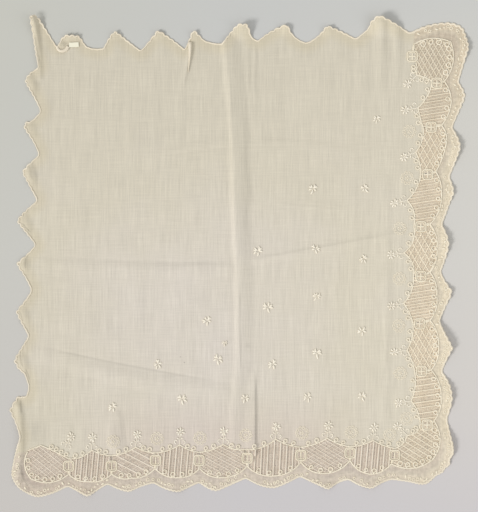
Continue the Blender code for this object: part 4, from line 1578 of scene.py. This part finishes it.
def build_rosettes():
    """The faint tone on tone rosettes between the border flowers: a circle of small rings
    round a few leaves.

    Ring i stands at the centre + radius * (cos a, sin a), where a is i / count of a turn.
    """
    threads, colours = thread_settings()
    fine = threads.fine_thread / MM
    strands = []
    for index in range(2, len(CARTOUCHES) - 1):
        way = unit(inward(index) + inward(index - 1))
        centre = inner_place(MEDALLIONS[index]) + way * ROSETTE_DISTANCE
        for turn in np.arange(ROSETTE_RINGS) * 360 / ROSETTE_RINGS:
            petal = centre + ROSETTE_RADIUS * direction(turn)
            strands.append(round_strand(petal, 2.3, width=fine, height=0.35))
        for turn in np.arange(ROSETTE_LEAVES) * 360 / ROSETTE_LEAVES:
            strands.append(leaf(centre, turn, 0.8, 4.2, bow=0, width=1.8, height=0.3))
    return worked_piece("rosettes", strands, "rosette_thread", colours.cord)


def build_band_marks():
    """Rings and padded dots along the netted band, a little inside the worked edge."""
    threads, colours = thread_settings()
    random = np.random.default_rng(threads.seed + 2)
    line = evenly_spaced(cloth_outline(), MARK_SPACING)
    left = left_of(line)
    strands = []
    worked = (line[:, 0] > MARKS_LEFT) | (line[:, 1] < MARKS_TOP)
    for number in np.flatnonzero(worked):
        centre = line[number] - left[number] * random.uniform(*MARK_DEPTH)
        if random.random() < BARE_SHARE:
            continue
        if random.random() < RING_SHARE:
            radius, width = random.uniform(*RING_RADIUS), random.uniform(*RING_WIDTH)
            strands.append(round_strand(centre, radius, width, height=0.6, count=12, sides=6))
        else:
            size = random.uniform(*DOT_REACH)
            turn = random.uniform(0, 180)
            strands.append(leaf(centre, turn, -size, size, bow=0.1, width=3.4, height=0.5))
    return worked_piece("band_marks", strands, "mark_thread", colours.mark)


def build_tape():
    """The short bare tape: a grid of points over its length and width, given a wall."""
    columns, rows = TAPE_GRID
    along, across = np.meshgrid(np.linspace(-0.5, 0.5, columns), np.linspace(-0.5, 0.5, rows))
    run = direction(TAPE_TURN)
    lengthways = along.reshape(-1, 1) * TAPE_LENGTH * run
    places = lengthways + across.reshape(-1, 1) * TAPE_WIDTH * quarter_turn(run) + TAPE_PLACE
    points = np.column_stack([places, surface_height(places) + TAPE_RISE])
    material = tape_material(bpy.context.scene.fichu_colours.tape)
    tape = mesh_piece("bare_tape", points, grid_faces(columns, rows), material)
    wall = tape.modifiers.new("thickness", "SOLIDIFY")
    wall.thickness = TAPE_THICKNESS * MM
    wall.offset = 1.0
    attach(tape, "root")
    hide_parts("tape_tab")
    return tape


def tape_material(tone):
    """Smooth cotton tape with fine ribs across it."""
    material, tree, shader, place = new_material("tape_weave", roughness=0.7, sheen=0.1)
    rib = stretched_noise(tree, place, (2400.0, 300.0, 1.0), 1.0)
    tree.links.new(mixed(tree, rib, tone, np.array(tone) * 0.88), shader.inputs["Base Color"])
    tree.links.new(bumped(tree, rib, 0.3, 0.0002), shader.inputs["Normal"])
    return material


def build_floor():
    """The plain pale surface under the cloth, with painted light and shade towards each side of the
    picture: brighter to the right and darker at the top. The painted light of the right side is weaker
    above and below."""
    tone = bpy.context.scene.fichu_colours.floor
    material, tree, shader, place = new_material("pale_floor", roughness=0.95, sheen=0.0)
    cloud = stretched_noise(tree, place, (3.0, 3.0, 3.0))
    axes = axes_of(tree, place)
    base = mixed(tree, cloud, tone, np.array(tone) * 0.985)
    for ramp, tint in PAINTED_FLOOR_LIGHT:
        near = ramped(tree, axes, ramp)
        if tint == PAINTED_FLOOR_LIGHT_RIGHT:
            height = sums(tree, "ABSOLUTE", axes["Y"])
            near = product(tree, near, ranged(tree, height, 0.26, 0.44, 1, 0.25))
        base = mixed(tree, 1.0, base, mixed(tree, near, UNTINTED, tint), "MULTIPLY")
    tree.links.new(base, shader.inputs["Base Color"])
    corners = FLOOR_REACH * np.array([(-1, -1, 0), (1, -1, 0), (1, 1, 0), (-1, 1, 0)])
    floor = mesh_piece("floor", corners, np.array([[0, 1, 2, 3]]), material)
    return floor


def add_lamp(name, kind, energy, turn):
    """A lamp in the scene, turned by these angles about X, Y and Z."""
    light = bpy.data.lights.new(name, kind)
    light.energy = energy
    lamp = added(name, light)
    lamp.rotation_mode = "XYZ"
    lamp.rotation_euler = turn
    return lamp


def build_lights():
    """A soft key light from one side, a weak fill from the other and an even sky."""
    stage = bpy.context.scene.fichu_stage
    key_turn = (0.0, pi / 2 - stage.key_elevation, stage.key_bearing)
    key = add_lamp("key", "SUN", stage.key_strength, key_turn)
    key.data.angle = stage.key_softness
    fill = add_lamp("fill", "AREA", stage.fill_power, FILL_TURN)
    fill.data.size = FILL_SIZE
    fill.location = FILL_PLACE
    world = bpy.data.worlds.new("soft_sky")
    world.use_nodes = True
    background = world.node_tree.nodes["Background"]
    background.inputs["Color"].default_value = SKY_TONE
    background.inputs["Strength"].default_value = stage.sky_strength
    bpy.context.scene.world = world
    bpy.context.scene.view_settings.view_transform = "Standard"


def build_camera():
    """A camera straight above the middle of the picture."""
    stage = bpy.context.scene.fichu_stage
    data = bpy.data.cameras.new("camera")
    data.sensor_width = 36.0
    data.lens = data.sensor_width * stage.camera_height / stage.view_height
    camera = added("camera", data)
    aim = (np.array(PICTURE_MIDDLE) - SQUARE_MIDDLE) * MM
    camera.location = (*aim, stage.camera_height)
    bpy.context.scene.camera = camera


class FICHU_OT_ground(bpy.types.Operator):
    """Make the muslin ground with its folds and scalloped edge"""

    bl_idname = "fichu.ground"
    bl_label = "Muslin ground"

    def execute(self, context):
        build_ground()
        return {"FINISHED"}


class FICHU_OT_net(bpy.types.Operator):
    """Make the fine net in the cartouches"""

    bl_idname = "fichu.net"
    bl_label = "Net ground"

    def execute(self, context):
        build_net()
        return {"FINISHED"}


class FICHU_OT_fillings(bpy.types.Operator):
    """Make the lattices and bars of the cartouches"""

    bl_idname = "fichu.fillings"
    bl_label = "Lattices and bars"

    def execute(self, context):
        build_fillings()
        return {"FINISHED"}


class FICHU_OT_cords(bpy.types.Operator):
    """Make the cords, ring curls and medallions of the border"""

    bl_idname = "fichu.cords"
    bl_label = "Cords, curls and medallions"

    def execute(self, context):
        build_cords()
        build_curls()
        build_medallions()
        return {"FINISHED"}


class FICHU_OT_edge(bpy.types.Operator):
    """Make the buttonholed edge and the marks of the band beside it"""

    bl_idname = "fichu.edge"
    bl_label = "Edge"

    def execute(self, context):
        build_edge()
        build_band_marks()
        return {"FINISHED"}


class FICHU_OT_flowers(bpy.types.Operator):
    """Make the border flowers, the rosettes and the scattered sprigs"""

    bl_idname = "fichu.flowers"
    bl_label = "Flowers"

    def execute(self, context):
        build_border_flowers()
        build_rosettes()
        build_sprigs()
        return {"FINISHED"}


class FICHU_OT_tape(bpy.types.Operator):
    """Make the short bare tape at the top edge"""

    bl_idname = "fichu.tape"
    bl_label = "Bare tape"

    def execute(self, context):
        build_tape()
        return {"FINISHED"}


class FICHU_OT_stage(bpy.types.Operator):
    """Make the floor, lights and camera"""

    bl_idname = "fichu.stage"
    bl_label = "Stage"

    def execute(self, context):
        build_floor()
        build_lights()
        build_camera()
        return {"FINISHED"}


OPERATORS = (
    FICHU_OT_ground,
    FICHU_OT_net,
    FICHU_OT_fillings,
    FICHU_OT_cords,
    FICHU_OT_edge,
    FICHU_OT_flowers,
    FICHU_OT_tape,
    FICHU_OT_stage,
)


class FICHU_PT_panel(bpy.types.Panel):
    """Sidebar panel with the fichu's settings and pieces."""

    bl_label = "Lace fichu"
    bl_idname = "FICHU_PT_panel"
    bl_space_type = "VIEW_3D"
    bl_region_type = "UI"
    bl_category = "Fichu"

    def draw(self, context):
        for group in SETTINGS:
            box = self.layout.box()
            settings = getattr(context.scene, group)
            for name in settings.bl_rna.properties.keys()[2:]:
                box.prop(settings, name)
        for operator in OPERATORS:
            self.layout.operator(operator.bl_idname)


SETTINGS = {
    "fichu_cloth": FichuCloth,
    "fichu_threads": FichuThreads,
    "fichu_colours": FichuColours,
    "fichu_stage": FichuStage,
}


def register():
    """Adds the classes, and one group of settings after another to the scene."""
    for kind in (*SETTINGS.values(), *OPERATORS, FICHU_PT_panel):
        bpy.utils.register_class(kind)
    for name, kind in SETTINGS.items():
        setattr(bpy.types.Scene, name, PointerProperty(type=kind))


def unregister():
    """Takes away what register adds, last things first."""
    for name in SETTINGS:
        delattr(bpy.types.Scene, name)
    for kind in (FICHU_PT_panel, *reversed(OPERATORS), *reversed(SETTINGS.values())):
        bpy.utils.unregister_class(kind)


def main():
    register()
    for operator in OPERATORS:
        group, name = operator.bl_idname.split(".")
        getattr(getattr(bpy.ops, group), name)()


if __name__ == "__main__":
    main()
